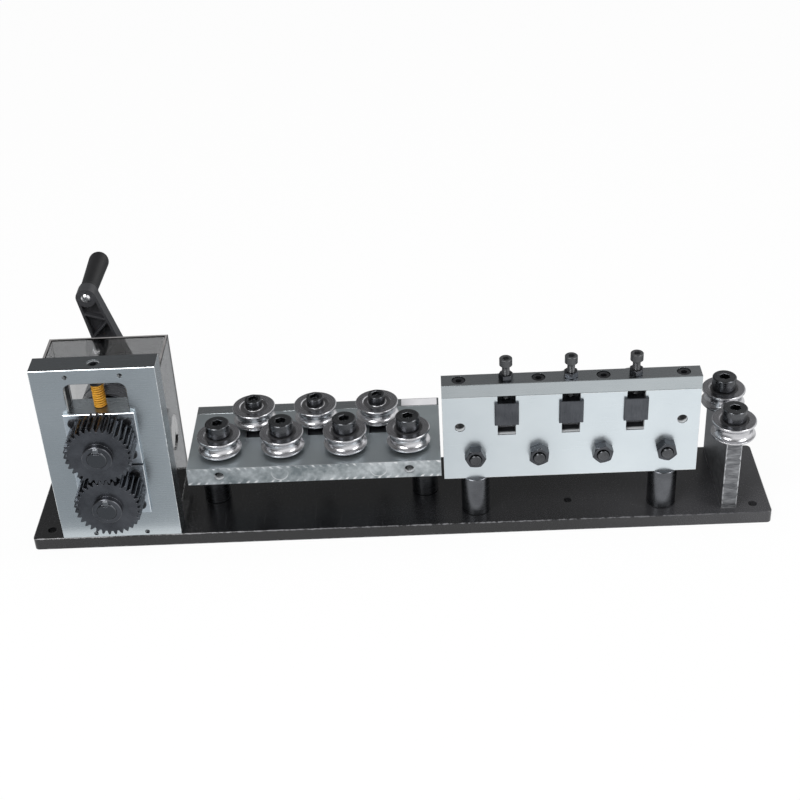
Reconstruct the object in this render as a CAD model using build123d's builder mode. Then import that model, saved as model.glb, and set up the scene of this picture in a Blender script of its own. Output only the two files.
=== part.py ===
"""Hand cranked wire straightener for the bench.

Units are millimetres.  The origin is the centre of the underside of the baseplate, +X runs along the
wire towards the inlet guide, +Y points to the rear (the crank side) and +Z is up.  The wire keeps one
height and one depth through the whole machine: inlet guide, upright roller bank, flat roller bank and
the pair of geared feed rolls that pulls it.
"""
import os
from math import atan2, cos, pi, radians, sin, sqrt, tan
from build123d import *

os.makedirs("parts", exist_ok=True)

# ---------------------------------------------------------------- the wire
base_wid = 120.0                       # baseplate; its front edge is flush with gear plate and flat bank
wire_row = 50.0                        # wire behind that edge, and from the free edge of both banks
wire_y, wire_z = wire_row - base_wid / 2, 110.0     # its straight path, parallel to X
wire_dia = 6.0                         # largest wire the grooves are cut for

# ---------------------------------------------------------------- clearances
running_fit = 0.06                     # radial, bearings and shafts
bolt_fit = 0.1                         # radial, bolts and pins in their holes
slide_fit = 0.2                        # each side of a sliding block
face_gap = 0.15                        # behind a lip that slides on a face
seat_gap = 0.3                         # end float of turning parts

# ---------------------------------------------------------------- roller banks
pitch = 65.0                           # roller spacing in a row
row_end = 32.5                         # end of the bank to its first fixed roller
plate_wid, bank_thk = 100.0, 20.0
bar_wid = 15.0                         # adjusting bar along the slotted edge
fixed_row = 30.0                       # fixed axles, from the free edge of the plate
moving_row = 79.6                      # adjustable axles as the operator left them
travel_in = 9.4                        # from there to the head of the adjuster on its lock nut
stack = 13.0                           # wire above the face that carries the rollers
block_wid, block_len = 18.0, 26.5
lip_wid, lip_thk = 24.5, 3.0
slot_spare = 4.0                       # slot left beyond the block when it is fully in

roller_od, roller_wid, roller_foot = 45.0, 18.0, 4.0
shield_od, shield_id, shield_sink = 33.0, 20.0, 1.2
journal_dia, axle_dia = 15.0, 12.0
fixed_head_dia, fixed_head_top = 25.0, 36.0
moving_head_dia, moving_head_top = 18.0, 31.0
axle_flange_dia = 22.0
axle_socket = 10.0
nut_flats, nut_high, stud_out = 19.0, 10.0, 2.5

m8, m8_head, m8_head_high, m8_long, m8_socket = 8.0, 13.0, 8.0, 30.0, 6.0
sink_dia, sink_deep = 14.0, 8.6        # counterbore for an M8 head
m8_nut_flats, m8_nut_high = 13.0, 6.4
adjuster_out = 16.0                    # underside of the adjuster's head above the bar
end_screw = 17.5                       # outer bar screws and post screws, from the end of the bank
post_row = 64.0                        # post screws of the flat bank, from the free edge
hole_m10 = 10.5
edge_hole_dia, edge_hole_deep = 10.2, 20.0

# ---------------------------------------------------------------- layout along the baseplate
base_thk, base_corner = 14.0, 5.0
drive_margin, drive_gap, bank_gap, guide_gap, guide_margin = 33.0, 15.0, 3.0, 28.0, 36.0
drive_wid, drive_thk, drive_high = 125.0, 25.0, 208.0
plate_screw_in = 17.5                  # outer screws under the gear plate, from its sides
guide_thk = 16.0
bank_len = 2 * row_end + 3 * pitch
base_len = (drive_margin + drive_wid + drive_gap + bank_len + bank_gap + bank_len + guide_gap
            + guide_thk + guide_margin)
bolt_in_x, bolt_in_y, bolt_hole = 18.0, 15.0, 9.0
flat_post_dia, upright_post_dia, post_chamfer = 28.0, 30.0, 0.8

drive_x0 = drive_margin - base_len / 2
drive_cx = drive_x0 + drive_wid / 2
drive_y0 = -base_wid / 2
drive_top = base_thk + drive_high
flat_x = drive_x0 + drive_wid + drive_gap
flat_y = wire_y - wire_row
flat_top = wire_z - stack
up_x = flat_x + bank_len + bank_gap
up_face = wire_y - stack               # rear face of the upright bank, its rollers stand on it
up_foot = wire_z - wire_row
guide_x = up_x + bank_len + guide_gap + guide_thk / 2
guide_half = 29.0                      # guide rollers, either side of the wire
guide_top = wire_z - stack
guide_lead, guide_back, guide_screw_in = 12.0, 5.0, 20.0
guide_y0, guide_y1 = wire_y - guide_half - guide_lead, base_wid / 2 - guide_back

# ---------------------------------------------------------------- drive
gear_module, teeth = 2.0, 32
gear_wid, hub_dia, hub_out, gear_bore = 28.0, 30.0, 6.0, 20.0
key_size, flank_play = 6.0, 0.10
shaft_dia, roll_gap, roll_wid, roll_shoulder = 25.0, 2.0, 40.0, 36.0
shaft_gap = gear_module * teeth
roll_od = shaft_gap - roll_gap
low_z, high_z = wire_z - shaft_gap / 2, wire_z + shaft_gap / 2
window_wid, window_corner = 61.5, 8.0
window_below, window_above = 26.0, 63.0
window_z0, window_z1 = low_z - window_below, high_z + window_above
block_split = 2.0                      # slit between the two bearing blocks
block_rise = 30.0                      # upper block above its shaft
block_lip, block_lip_thk = 5.0, 4.0    # lip beyond the window, and its thickness
m6, m6_head, m6_head_out, m6_socket, m6_long, m6_in_x, m6_in_z = 6.0, 10.0, 2.0, 5.0, 19.0, 27.0, 20.0
gear_back = drive_y0 - block_lip_thk - 2.5
lift = 2.5                             # travel of the upper block against its spring

spring_dia, spring_turns, wire_tall, wire_deep = 14.0, 10.5, 1.6, 2.6
cap_thk = 2.5
screw_dia, screw_sunk = 12.0, 1.5      # pressure screw, and its end below the top of the plate
guard_in_x, guard_low, guard_high, guard_hole = 35.5, 5.0, 8.5, 5.0

cover_z0, cover_top, cover_deep, cover_thk = 34.0, 204.0, 66.0, 3.0
cover_inset, wire_hole = 1.0, 38.0

arm_clear, arm_thk, arm_rim, arm_sink, rib_thk = 2.0, 15.0, 2.8, 8.0, 2.2
crank_y = flat_y + plate_wid + bar_wid + arm_clear      # the arm swings past the end of the flat bank
crank_len, crank_tilt = 96.5, 13.9     # pivot radius, and its lean to the left at rest
hub_r, arm_end_r, crank_shaft_dia = 18.0, 10.6, 16.0
hub_clear = 7.0
hub_y0 = drive_y0 + drive_thk + cover_deep + hub_clear
spindle_dia, spindle_head, grip_len, grip_nose_r, grip_neck_r = 8.0, 10.0, 76.0, 10.7, 9.0


def save(solid, node):
    solid.label = node
    export_step(solid, "parts/" + node + ".step")


# ---------------------------------------------------------------- places on the banks
fixed_at = [row_end + pitch * i for i in range(4)]
moving_at = [row_end + pitch * (i + 0.5) for i in range(3)]
bar_screw_at = [end_screw, fixed_at[1], fixed_at[2], bank_len - end_screw]
edge_hole_at = [fixed_at[0], fixed_at[3]]
post_screw_at = [end_screw, bank_len - end_screw]
slot_end = moving_row - block_len / 2 - travel_in - slot_spare


def on_flat(along, across, height=0.0):
    """A place on top of the flat bank; the plane's normal is up and across runs to the rear."""
    return Plane(origin=(flat_x + along, flat_y + across, flat_top + height),
                 x_dir=(1, 0, 0), z_dir=(0, 0, 1))


def on_upright(along, across, height=0.0):
    """The same place on the upright bank; the normal points to the rear and across runs up."""
    return Plane(origin=(up_x + along, up_face + height, up_foot + across),
                 x_dir=(-1, 0, 0), z_dir=(0, 1, 0))


def on_guide(side):
    return Plane(origin=(guide_x, wire_y + side * guide_half, guide_top),
                 x_dir=(1, 0, 0), z_dir=(0, 0, 1))


def across_plane(bank, along, across, height):
    """Plane whose normal runs across the bank, away from the free edge."""
    place = bank(along, across, height)
    return Plane(origin=place.origin, x_dir=place.x_dir, z_dir=place.y_dir)


# ---------------------------------------------------------------- turned parts and screws
def turned(place, profile, socket=0.0, socket_deep=0.0, socket_at=0.0):
    """A part turned about the normal of a plane; the profile is a list of (radius, height)."""
    with BuildPart() as piece:
        with BuildSketch(Plane(origin=place.origin, x_dir=place.x_dir, z_dir=-place.y_dir)):
            Polygon(*profile, align=None)
        revolve(axis=Axis(place.origin, place.z_dir))
        if socket:
            with BuildSketch(place.offset(socket_at)):
                RegularPolygon(socket / 2, 6, major_radius=False)
            extrude(amount=-socket_deep, mode=Mode.SUBTRACT)
    return piece.part


def cap_screw(seat, dia, head, head_high, long, socket):
    """Socket head screw; the seat plane lies under the head, its normal points out of the head."""
    r, h, edge = dia / 2, head / 2, 0.5
    profile = [(0, -long), (r - edge, -long), (r, -long + edge), (r, 0), (h - edge / 2, 0),
               (h, edge), (h, head_high - edge), (h - edge, head_high), (0, head_high)]
    return turned(seat, profile, socket, head_high * 0.55, head_high)


def hex_nut(place, flats, high, bore, turn):
    """Chamfered hexagon nut standing on a plane, turned as the spanner left it."""
    corner = flats / sqrt(3)
    with BuildPart() as nut:
        with BuildSketch(place):
            RegularPolygon(flats / 2, 6, major_radius=False, rotation=turn)
        extrude(amount=high)
        with BuildSketch(Plane(origin=place.origin, x_dir=place.x_dir, z_dir=-place.y_dir)):
            Polygon((flats / 2 - 0.3, high), (corner + 1, high), (corner + 1, high - 1.7), align=None)
        revolve(axis=Axis(place.origin, place.z_dir), mode=Mode.SUBTRACT)
        with BuildSketch(place):
            Circle(bore / 2)
        extrude(amount=high, mode=Mode.SUBTRACT)
    return nut.part


# ---------------------------------------------------------------- baseplate
# Thick black painted flat bar with a bolt hole at each corner.  Counterbored holes underneath take
# the screws of the posts, the gear plate and the inlet upright.
plate_screw_x = drive_wid / 2 - plate_screw_in
post_places = ([(flat_x + a, flat_y + post_row) for a in post_screw_at]
               + [(up_x + a, up_face - bank_thk / 2) for a in edge_hole_at])
gear_plate_places = [(drive_cx + dx, drive_y0 + drive_thk / 2)
                     for dx in (-plate_screw_x, 0, plate_screw_x)]
upright_places = [(guide_x, guide_y0 + guide_screw_in), (guide_x, guide_y1 - guide_screw_in)]
base_places = post_places + gear_plate_places + upright_places
spare_hole = (up_x + bank_len / 2, wire_y - 2 * m8 - 1)
bolt_places = [(sx * (base_len / 2 - bolt_in_x), sy * (base_wid / 2 - bolt_in_y))
               for sx in (-1, 1) for sy in (-1, 1)]
with BuildPart() as baseplate:
    Box(base_len, base_wid, base_thk, align=(Align.CENTER, Align.CENTER, Align.MIN))
    fillet(baseplate.edges().filter_by(Axis.Z), base_corner)
    chamfer(baseplate.faces().sort_by(Axis.Z)[-1].edges(), 0.8)
    with BuildSketch(Plane.XY):
        with Locations(*bolt_places):
            Circle(bolt_hole / 2)
        with Locations(*base_places, spare_hole):
            Circle(m8 / 2 + bolt_fit)
    extrude(amount=base_thk, mode=Mode.SUBTRACT)
    with BuildSketch(Plane.XY):
        with Locations(*base_places):
            Circle(sink_dia / 2)
    extrude(amount=sink_deep, mode=Mode.SUBTRACT)
save(baseplate.part, "baseplate")

# ---------------------------------------------------------------- posts under the banks
# Round steel posts, drilled from both ends.  Those of the upright bank carry a pin that fits the
# holes in the lower edge of its plate.
screw_hole_deep = m8_long - (base_thk - sink_deep) + 2
with BuildPart() as posts:
    with BuildSketch(Plane.XY.offset(base_thk)):
        with Locations(*post_places[:2]):
            Circle(flat_post_dia / 2)
    extrude(amount=flat_top - bank_thk - base_thk)
    with BuildSketch(Plane.XY.offset(base_thk)):
        with Locations(*post_places[2:]):
            Circle(upright_post_dia / 2)
    extrude(amount=up_foot - base_thk)
    chamfer(posts.edges().filter_by(GeomType.CIRCLE), post_chamfer)
    with BuildSketch(Plane.XY.offset(base_thk)):
        with Locations(*post_places):
            Circle(m8 / 2 + bolt_fit)
    extrude(amount=screw_hole_deep, mode=Mode.SUBTRACT)
    with BuildSketch(Plane.XY.offset(flat_top - bank_thk)):
        with Locations(*post_places[:2]):
            Circle(m8 / 2 + bolt_fit)
    extrude(amount=-(m8_long - (bank_thk - sink_deep) + 2), mode=Mode.SUBTRACT)
    with BuildSketch(Plane.XY.offset(up_foot)):
        with Locations(*post_places[2:]):
            Circle(edge_hole_dia / 2 - bolt_fit)
    extrude(amount=edge_hole_deep - 2)
save(posts.part, "posts")


# ---------------------------------------------------------------- bank plates and adjusting bars
def bank_plate(bank, across):
    """Plate with three slots open to the bar, four axle holes, two face holes and edge holes.

    across is +1 where the plane's x runs along the bank and -1 where it runs back.
    """
    with BuildPart() as plate:
        with BuildSketch(bank(0, 0, -bank_thk)):
            with Locations((across * bank_len / 2, plate_wid / 2)):
                Rectangle(bank_len, plate_wid)
            with Locations(*[(across * a, (plate_wid + slot_end) / 2) for a in moving_at]):
                Rectangle(block_wid + 2 * slide_fit, plate_wid - slot_end, mode=Mode.SUBTRACT)
            with Locations(*[(across * a, fixed_row) for a in fixed_at]):
                Circle(axle_dia / 2 + bolt_fit, mode=Mode.SUBTRACT)
            with Locations(*[(across * a, post_row) for a in post_screw_at]):
                Circle(hole_m10 / 2, mode=Mode.SUBTRACT)
        extrude(amount=bank_thk)
        with BuildSketch(across_plane(bank, 0, 0, -bank_thk / 2)):
            with Locations(*[(across * a, 0) for a in edge_hole_at]):
                Circle(edge_hole_dia / 2)
        extrude(amount=edge_hole_deep, mode=Mode.SUBTRACT)
        with BuildSketch(across_plane(bank, 0, plate_wid, -bank_thk / 2)):
            with Locations(*[(across * a, 0) for a in bar_screw_at]):
                Circle(m8 / 2 + bolt_fit)
        extrude(amount=-(m8_long - (bar_wid - sink_deep) + 2), mode=Mode.SUBTRACT)
    return plate.part


with BuildPart() as flat_plate:
    add(bank_plate(on_flat, 1))
    with BuildSketch(on_flat(0, 0)):
        with Locations(*[(a, post_row) for a in post_screw_at]):
            Circle(sink_dia / 2)
    extrude(amount=-sink_deep, mode=Mode.SUBTRACT)
save(flat_plate.part, "flat_plate")
save(bank_plate(on_upright, -1), "upright_plate")

# One bar closes the slots of each plate; it is tapped for the adjusters.
with BuildPart() as adjusting_bars:
    for bank, across in ((on_flat, 1), (on_upright, -1)):
        with BuildSketch(bank(0, plate_wid, -bank_thk)):
            with Locations((across * bank_len / 2, bar_wid / 2)):
                Rectangle(bank_len, bar_wid)
        extrude(amount=bank_thk)
    chamfer(adjusting_bars.edges().filter_by(Axis.X), 0.5)
    for bank, across in ((on_flat, 1), (on_upright, -1)):
        edge = across_plane(bank, 0, plate_wid + bar_wid, -bank_thk / 2)
        with BuildSketch(edge):
            with Locations(*[(across * a, 0) for a in moving_at + bar_screw_at]):
                Circle(m8 / 2 + bolt_fit)
        extrude(amount=-bar_wid, mode=Mode.SUBTRACT)
        with BuildSketch(edge):
            with Locations(*[(across * a, 0) for a in bar_screw_at]):
                Circle(sink_dia / 2)
        extrude(amount=-sink_deep, mode=Mode.SUBTRACT)
save(adjusting_bars.part, "adjusting_bars")

# M8 socket screws: under the base, through the bars, and down through the flat plate.
screw_seats = [Plane(origin=(px, py, sink_deep), x_dir=(1, 0, 0), z_dir=(0, 0, -1))
               for px, py in base_places]
screw_seats += [across_plane(bank, a, plate_wid + bar_wid - sink_deep, -bank_thk / 2)
                for bank in (on_flat, on_upright) for a in bar_screw_at]
screw_seats += [on_flat(a, post_row, -sink_deep) for a in post_screw_at]
with BuildPart() as m8_screws:
    for seat in screw_seats:
        add(cap_screw(seat, m8, m8_head, m8_head_high, m8_long, m8_socket))
save(m8_screws.part, "m8_screws")

# ---------------------------------------------------------------- fixed axles and their nuts
roller_top = roller_foot + roller_wid
fixed_axle_profile = [
    (0, -bank_thk - nut_high - stud_out), (axle_dia / 2 - 0.8, -bank_thk - nut_high - stud_out),
    (axle_dia / 2, -bank_thk - nut_high - stud_out + 0.8), (axle_dia / 2, 0),
    (shield_id / 2, 0), (shield_id / 2, roller_foot), (journal_dia / 2, roller_foot),
    (journal_dia / 2, roller_top + seat_gap), (fixed_head_dia / 2, roller_top + seat_gap),
    (fixed_head_dia / 2, fixed_head_top - 0.9), (fixed_head_dia / 2 - 0.9, fixed_head_top),
    (0, fixed_head_top)]
bank_fixed = [on_flat(a, fixed_row) for a in fixed_at] + [on_upright(a, fixed_row) for a in fixed_at]
with BuildPart() as fixed_axles:
    for place in bank_fixed + [on_guide(-1), on_guide(1)]:
        add(turned(place, fixed_axle_profile, axle_socket, 7, fixed_head_top))
save(fixed_axles.part, "fixed_axles")

nut_turns = [8, 24, 41, 15, 28, 54, 46, 12]
with BuildPart() as axle_nuts:
    for place, turn in zip(bank_fixed, nut_turns):
        behind = Plane(origin=place.offset(-bank_thk).origin, x_dir=place.x_dir, z_dir=-place.z_dir)
        add(hex_nut(behind, nut_flats, nut_high, axle_dia, turn))
save(axle_nuts.part, "axle_nuts")


# ---------------------------------------------------------------- rollers
def roller(place):
    """Hardened roller on a sealed bearing: round groove, two rims, a sunk shield on each face."""
    groove_r0 = wire_row - fixed_row - wire_dia / 2
    half_groove = roller_wid * 0.37
    deep = roller_od / 2 - groove_r0
    arc_r = (deep ** 2 + half_groove ** 2) / (2 * deep)
    foot, top, rim = roller_foot, roller_top, roller_od / 2
    inner, race, shield = journal_dia / 2 + running_fit, shield_id / 2, shield_od / 2
    with BuildPart() as wheel:
        with BuildSketch(Plane(origin=place.origin, x_dir=place.x_dir, z_dir=-place.y_dir)):
            Polygon((inner, foot + seat_gap), (race, foot + seat_gap),
                    (race + 0.4, foot + shield_sink), (shield, foot + shield_sink),
                    (shield + 0.5, foot), (rim - 0.8, foot), (rim, foot + 0.8),
                    (rim, top - 0.8), (rim - 0.8, top), (shield + 0.5, top),
                    (shield, top - shield_sink), (race + 0.4, top - shield_sink),
                    (race, top), (inner, top), align=None)
            with Locations((groove_r0 + arc_r, (foot + top) / 2)):
                Circle(arc_r, mode=Mode.SUBTRACT)
        revolve(axis=Axis(place.origin, place.z_dir))
    return wheel.part


for i, a in enumerate(fixed_at):
    save(roller(on_flat(a, fixed_row)), "flat_roller_front_%d" % (i + 1))
    save(roller(on_upright(a, fixed_row)), "upright_roller_low_%d" % (i + 1))
for i, a in enumerate(moving_at):
    save(roller(on_flat(a, moving_row)), "flat_roller_rear_%d" % (i + 1))
    save(roller(on_upright(a, moving_row)), "upright_roller_high_%d" % (i + 1))
save(roller(on_guide(-1)), "guide_roller_front")
save(roller(on_guide(1)), "guide_roller_rear")


# ---------------------------------------------------------------- adjustable roller units
axle_tail = 17.5                       # thread of the moving axle inside its block
screw_tail = 6.25                      # end of the adjuster inside the block
moving_axle_profile = [
    (0, -axle_tail), (axle_dia / 2, -axle_tail), (axle_dia / 2, seat_gap),
    (axle_flange_dia / 2, seat_gap), (axle_flange_dia / 2, roller_foot - 0.5),
    (shield_id / 2, roller_foot), (journal_dia / 2, roller_foot),
    (journal_dia / 2, roller_top + seat_gap), (moving_head_dia / 2, roller_top + seat_gap),
    (moving_head_dia / 2, moving_head_top - 0.7), (moving_head_dia / 2 - 0.7, moving_head_top),
    (0, moving_head_top)]


def slide_block(bank, along):
    """Block that fills the slot, with a lip behind the plate, bored for axle and adjuster."""
    with BuildPart() as block:
        with BuildSketch(bank(along, moving_row, -bank_thk - face_gap)):
            Rectangle(block_wid, block_len)
        extrude(amount=bank_thk + face_gap + seat_gap)
        with BuildSketch(bank(along, moving_row, -bank_thk - face_gap)):
            Rectangle(lip_wid, block_len)
        extrude(amount=-lip_thk)
        place = bank(0, 0)
        chamfer(block.faces().sort_by(Axis(place.origin, place.z_dir))[0].edges(), 0.7)
        with BuildSketch(bank(along, moving_row, seat_gap)):
            Circle(axle_dia / 2 + bolt_fit)
        extrude(amount=-(axle_tail + seat_gap + 0.5), mode=Mode.SUBTRACT)
        with BuildSketch(across_plane(bank, along, moving_row + block_len / 2, -bank_thk / 2)):
            Circle(m8 / 2 + running_fit)
        extrude(amount=-(screw_tail + 0.3), mode=Mode.SUBTRACT)
    return block.part


bar_edge = plate_wid + bar_wid
adjuster_long = bar_edge + adjuster_out - (moving_row + block_len / 2 - screw_tail)
for bank, name in ((on_flat, "flat"), (on_upright, "upright")):
    for i, a in enumerate(moving_at):
        tag = "_%d" % (i + 1)
        save(slide_block(bank, a), name + "_slide" + tag)
        save(turned(bank(a, moving_row), moving_axle_profile, axle_socket, 5, moving_head_top),
             name + "_slide_axle" + tag)
        seat = across_plane(bank, a, bar_edge + adjuster_out, -bank_thk / 2)
        save(cap_screw(seat, m8, m8_head, m8_head_high, adjuster_long, m8_socket),
             name + "_adjuster" + tag)

lock_turns = [0, 12, 47, 5, 33, 20]
with BuildPart() as lock_nuts:
    seats = [across_plane(bank, a, bar_edge, -bank_thk / 2)
             for bank in (on_flat, on_upright) for a in moving_at]
    for seat, turn in zip(seats, lock_turns):
        add(hex_nut(seat, m8_nut_flats, m8_nut_high, m8 + 2 * bolt_fit, turn))
save(lock_nuts.part, "lock_nuts")

# ---------------------------------------------------------------- inlet guide upright
# Sawn flat bar on edge; the two guide rollers turn on axles screwed into its top.
with BuildPart() as guide_upright:
    with BuildSketch(Plane.XY.offset(base_thk)):
        with Locations((guide_x, (guide_y0 + guide_y1) / 2)):
            Rectangle(guide_thk, guide_y1 - guide_y0)
    extrude(amount=guide_top - base_thk)
    chamfer(guide_upright.edges().filter_by(Axis.Z), 0.6)
    with BuildSketch(Plane.XY.offset(guide_top)):
        with Locations((guide_x, wire_y - guide_half), (guide_x, wire_y + guide_half)):
            Circle(axle_dia / 2 + bolt_fit)
    extrude(amount=-(bank_thk + nut_high + stud_out + 1), mode=Mode.SUBTRACT)
    with BuildSketch(Plane.XY.offset(base_thk)):
        with Locations(*upright_places):
            Circle(m8 / 2 + bolt_fit)
    extrude(amount=screw_hole_deep, mode=Mode.SUBTRACT)
save(guide_upright.part, "guide_upright")

# ---------------------------------------------------------------- gear plate
# Plate on edge, flush with the front of the base, with a tall window for the bearing blocks.
front = Plane.XZ.offset(-drive_y0)
with BuildPart() as gear_plate:
    with BuildSketch(front):
        with Locations((drive_cx, base_thk + drive_high / 2)):
            Rectangle(drive_wid, drive_high)
        with Locations((drive_cx, (window_z0 + window_z1) / 2)):
            RectangleRounded(window_wid, window_z1 - window_z0, window_corner, mode=Mode.SUBTRACT)
    extrude(amount=-drive_thk)
    chamfer(gear_plate.faces().sort_by(Axis.Y)[0].edges(), 0.6)
    with BuildSketch(front):
        with Locations(*[(drive_cx + sx * (drive_wid / 2 - guard_in_x), z) for sx in (-1, 1)
                         for z in (base_thk + guard_low, drive_top - guard_high)]):
            Circle(guard_hole / 2)
    extrude(amount=-drive_thk / 2, mode=Mode.SUBTRACT)
    with BuildSketch(Plane.XY.offset(drive_top)):
        with Locations((drive_cx, drive_y0 + drive_thk / 2)):
            Circle(screw_dia / 2 + bolt_fit)
    extrude(amount=-(drive_top - window_z1 + 1), mode=Mode.SUBTRACT)
    with BuildSketch(Plane.XY.offset(base_thk)):
        with Locations(*gear_plate_places):
            Circle(m8 / 2 + bolt_fit)
    extrude(amount=screw_hole_deep, mode=Mode.SUBTRACT)
save(gear_plate.part, "gear_plate")


# ---------------------------------------------------------------- bearing blocks in the window
def bearing_block(core_z0, core_z1, lip_z0, shaft_z, round_foot):
    """Core that fits the window and a wider front lip, bored for the shaft and four M6 screws."""
    lip_wid_here = window_wid + 2 * block_lip
    with BuildPart() as block:
        with BuildSketch(front):
            with Locations((drive_cx, (core_z0 + core_z1) / 2)):
                Rectangle(window_wid - 2 * slide_fit, core_z1 - core_z0)
        extrude(amount=-drive_thk)
        if round_foot:
            fillet(block.faces().sort_by(Axis.Z)[0].edges().filter_by(Axis.Y), window_corner)
        with BuildSketch(front):
            with Locations((drive_cx, (core_z0 + core_z1) / 2)):
                Rectangle(window_wid - 2 * slide_fit - 2 * window_corner, core_z1 - core_z0)
        extrude(amount=face_gap)
        with BuildSketch(front.offset(face_gap)):
            with Locations((drive_cx, (lip_z0 + core_z1) / 2)):
                Rectangle(lip_wid_here, core_z1 - lip_z0)
        extrude(amount=block_lip_thk)
        chamfer(block.faces().sort_by(Axis.Y)[0].edges(), 0.6)
        with BuildSketch(front.offset(face_gap + block_lip_thk)):
            with Locations((drive_cx, shaft_z)):
                Circle(shaft_dia / 2)
        extrude(amount=-(drive_thk + block_lip_thk + 1), mode=Mode.SUBTRACT)
        with BuildSketch(front.offset(face_gap + block_lip_thk)):
            with Locations(*m6_places(shaft_z)):
                Circle(m6 / 2 + bolt_fit)
        extrude(amount=-(m6_long + 1), mode=Mode.SUBTRACT)
    return block.part


def m6_places(shaft_z):
    return [(drive_cx + dx, shaft_z + dz) for dx in (-m6_in_x, m6_in_x) for dz in (-m6_in_z, m6_in_z)]


def block_screws(shaft_z):
    """Four low socket screws that hold the lip to the core."""
    with BuildPart() as screws:
        for px, pz in m6_places(shaft_z):
            seat = Plane(origin=(px, drive_y0 - face_gap - block_lip_thk, pz),
                         x_dir=(1, 0, 0), z_dir=(0, -1, 0))
            add(cap_screw(seat, m6, m6_head, m6_head_out, m6_long, m6_socket))
    return screws.part


split_low, split_high = wire_z - block_split, wire_z
block_top = high_z + block_rise
save(bearing_block(window_z0 + seat_gap, split_low, window_z0 - block_lip + seat_gap, low_z, True),
     "lower_block")
save(bearing_block(split_high, block_top, split_high, high_z, False), "upper_block")
save(block_screws(low_z), "lower_block_screws")
save(block_screws(high_z), "upper_block_screws")

# ---------------------------------------------------------------- feed rolls on their shafts
gear_front = gear_back - gear_wid - hub_out


def roll_shaft(z, tail_dia, tail_y):
    """Shaft and grooved feed roll in one piece, with a keyway for the gear and a rear tail."""
    roll_y0, roll_y1 = wire_y - roll_wid / 2, wire_y + roll_wid / 2
    nose, body, roll, tail = gear_bore / 2, shaft_dia / 2 - running_fit, roll_od / 2, tail_dia / 2
    with BuildPart() as shaft:
        with BuildSketch(Plane.YZ.offset(drive_cx)):
            with Locations((0, z)):
                Polygon((gear_front - 1, 0), (gear_front - 1, nose - 1), (gear_front, nose),
                        (gear_back, nose), (gear_back, body), (roll_y0 - 2, body),
                        (roll_y0 - 2, roll_shoulder / 2), (roll_y0, roll_shoulder / 2),
                        (roll_y0, roll - 1), (roll_y0 + 1, roll), (roll_y1 - 1, roll),
                        (roll_y1, roll - 1), (roll_y1, tail), (tail_y, tail), (tail_y, 0), align=None)
            with Locations((wire_y, z + roll + roll_gap / 2)):
                Circle(wire_dia / 2, mode=Mode.SUBTRACT)
        revolve(axis=Axis((drive_cx, 0, z), (0, 1, 0)))
        with BuildSketch(Plane.XZ.offset(-gear_front + 1)):
            with Locations((drive_cx, z + nose)):
                Rectangle(key_size, key_size)
        extrude(amount=-(gear_wid + hub_out + 1), mode=Mode.SUBTRACT)
    return shaft.part


save(roll_shaft(high_z, crank_shaft_dia, crank_y + arm_sink), "upper_roll_shaft")
save(roll_shaft(low_z, shaft_dia - 1, wire_y + roll_wid / 2 + 6), "lower_roll_shaft")


# ---------------------------------------------------------------- gears
def gear_outline(turn):
    """Involute spur gear, 20 degree pressure angle; each flank is thinned by the play."""
    r_pitch = gear_module * teeth / 2
    r_base, r_tip, r_root = r_pitch * cos(radians(20)), r_pitch + gear_module, r_pitch - 1.25 * gear_module
    half_tooth = pi / (2 * teeth) - flank_play / r_pitch + tan(radians(20)) - radians(20)
    flank = [(r_root, half_tooth + 0.012)]
    for j in range(6):
        r = r_base + (r_tip - r_base) * j / 5
        t = sqrt(max(0.0, (r / r_base) ** 2 - 1))
        flank.append((r, half_tooth - t + atan2(t, 1)))
    outline = []
    for k in range(teeth):
        mid = turn + 2 * pi * k / teeth
        outline += [(r * cos(mid - h), r * sin(mid - h)) for r, h in flank]
        outline += [(r * cos(mid + h), r * sin(mid + h)) for r, h in reversed(flank)]
    return outline


def spur_gear(z, turn):
    """Gear with a raised hub, bored and keyed for its shaft."""
    face = Plane(origin=(drive_cx, gear_back, z), x_dir=(1, 0, 0), z_dir=(0, -1, 0))
    with BuildPart() as gear:
        with BuildSketch(face):
            Polygon(*gear_outline(turn), align=None)
        extrude(amount=gear_wid)
        with BuildSketch(face.offset(gear_wid)):
            Circle(hub_dia / 2)
        extrude(amount=hub_out)
        chamfer(gear.faces().sort_by(Axis.Y)[0].edges(), 0.8)
        with BuildSketch(face):
            Circle(gear_bore / 2 + running_fit)
            with Locations((0, gear_bore / 2)):
                Rectangle(key_size, key_size)
        extrude(amount=gear_wid + hub_out, mode=Mode.SUBTRACT)
    return gear.part


save(spur_gear(high_z, pi / 2), "upper_gear")
save(spur_gear(low_z, pi / 2 + pi / teeth), "lower_gear")

# ---------------------------------------------------------------- pressure spring, cap and screw
spring_y = drive_y0 + drive_thk / 2
cap_z = window_z1 - 4.0
spring_free = cap_z - cap_thk - block_top
with BuildPart() as pressure_spring:
    climb = spring_free - wire_tall - 0.2
    with BuildLine() as coil:
        Helix(pitch=climb / spring_turns, height=climb, radius=(spring_dia - wire_deep) / 2,
              center=(drive_cx, spring_y, block_top + wire_tall / 2 + 0.1))
    with BuildSketch(Plane(origin=coil.line @ 0, x_dir=(1, 0, 0), z_dir=coil.line % 0)):
        Rectangle(wire_deep, wire_tall)
    sweep(is_frenet=True)
save(pressure_spring.part, "pressure_spring")

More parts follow.
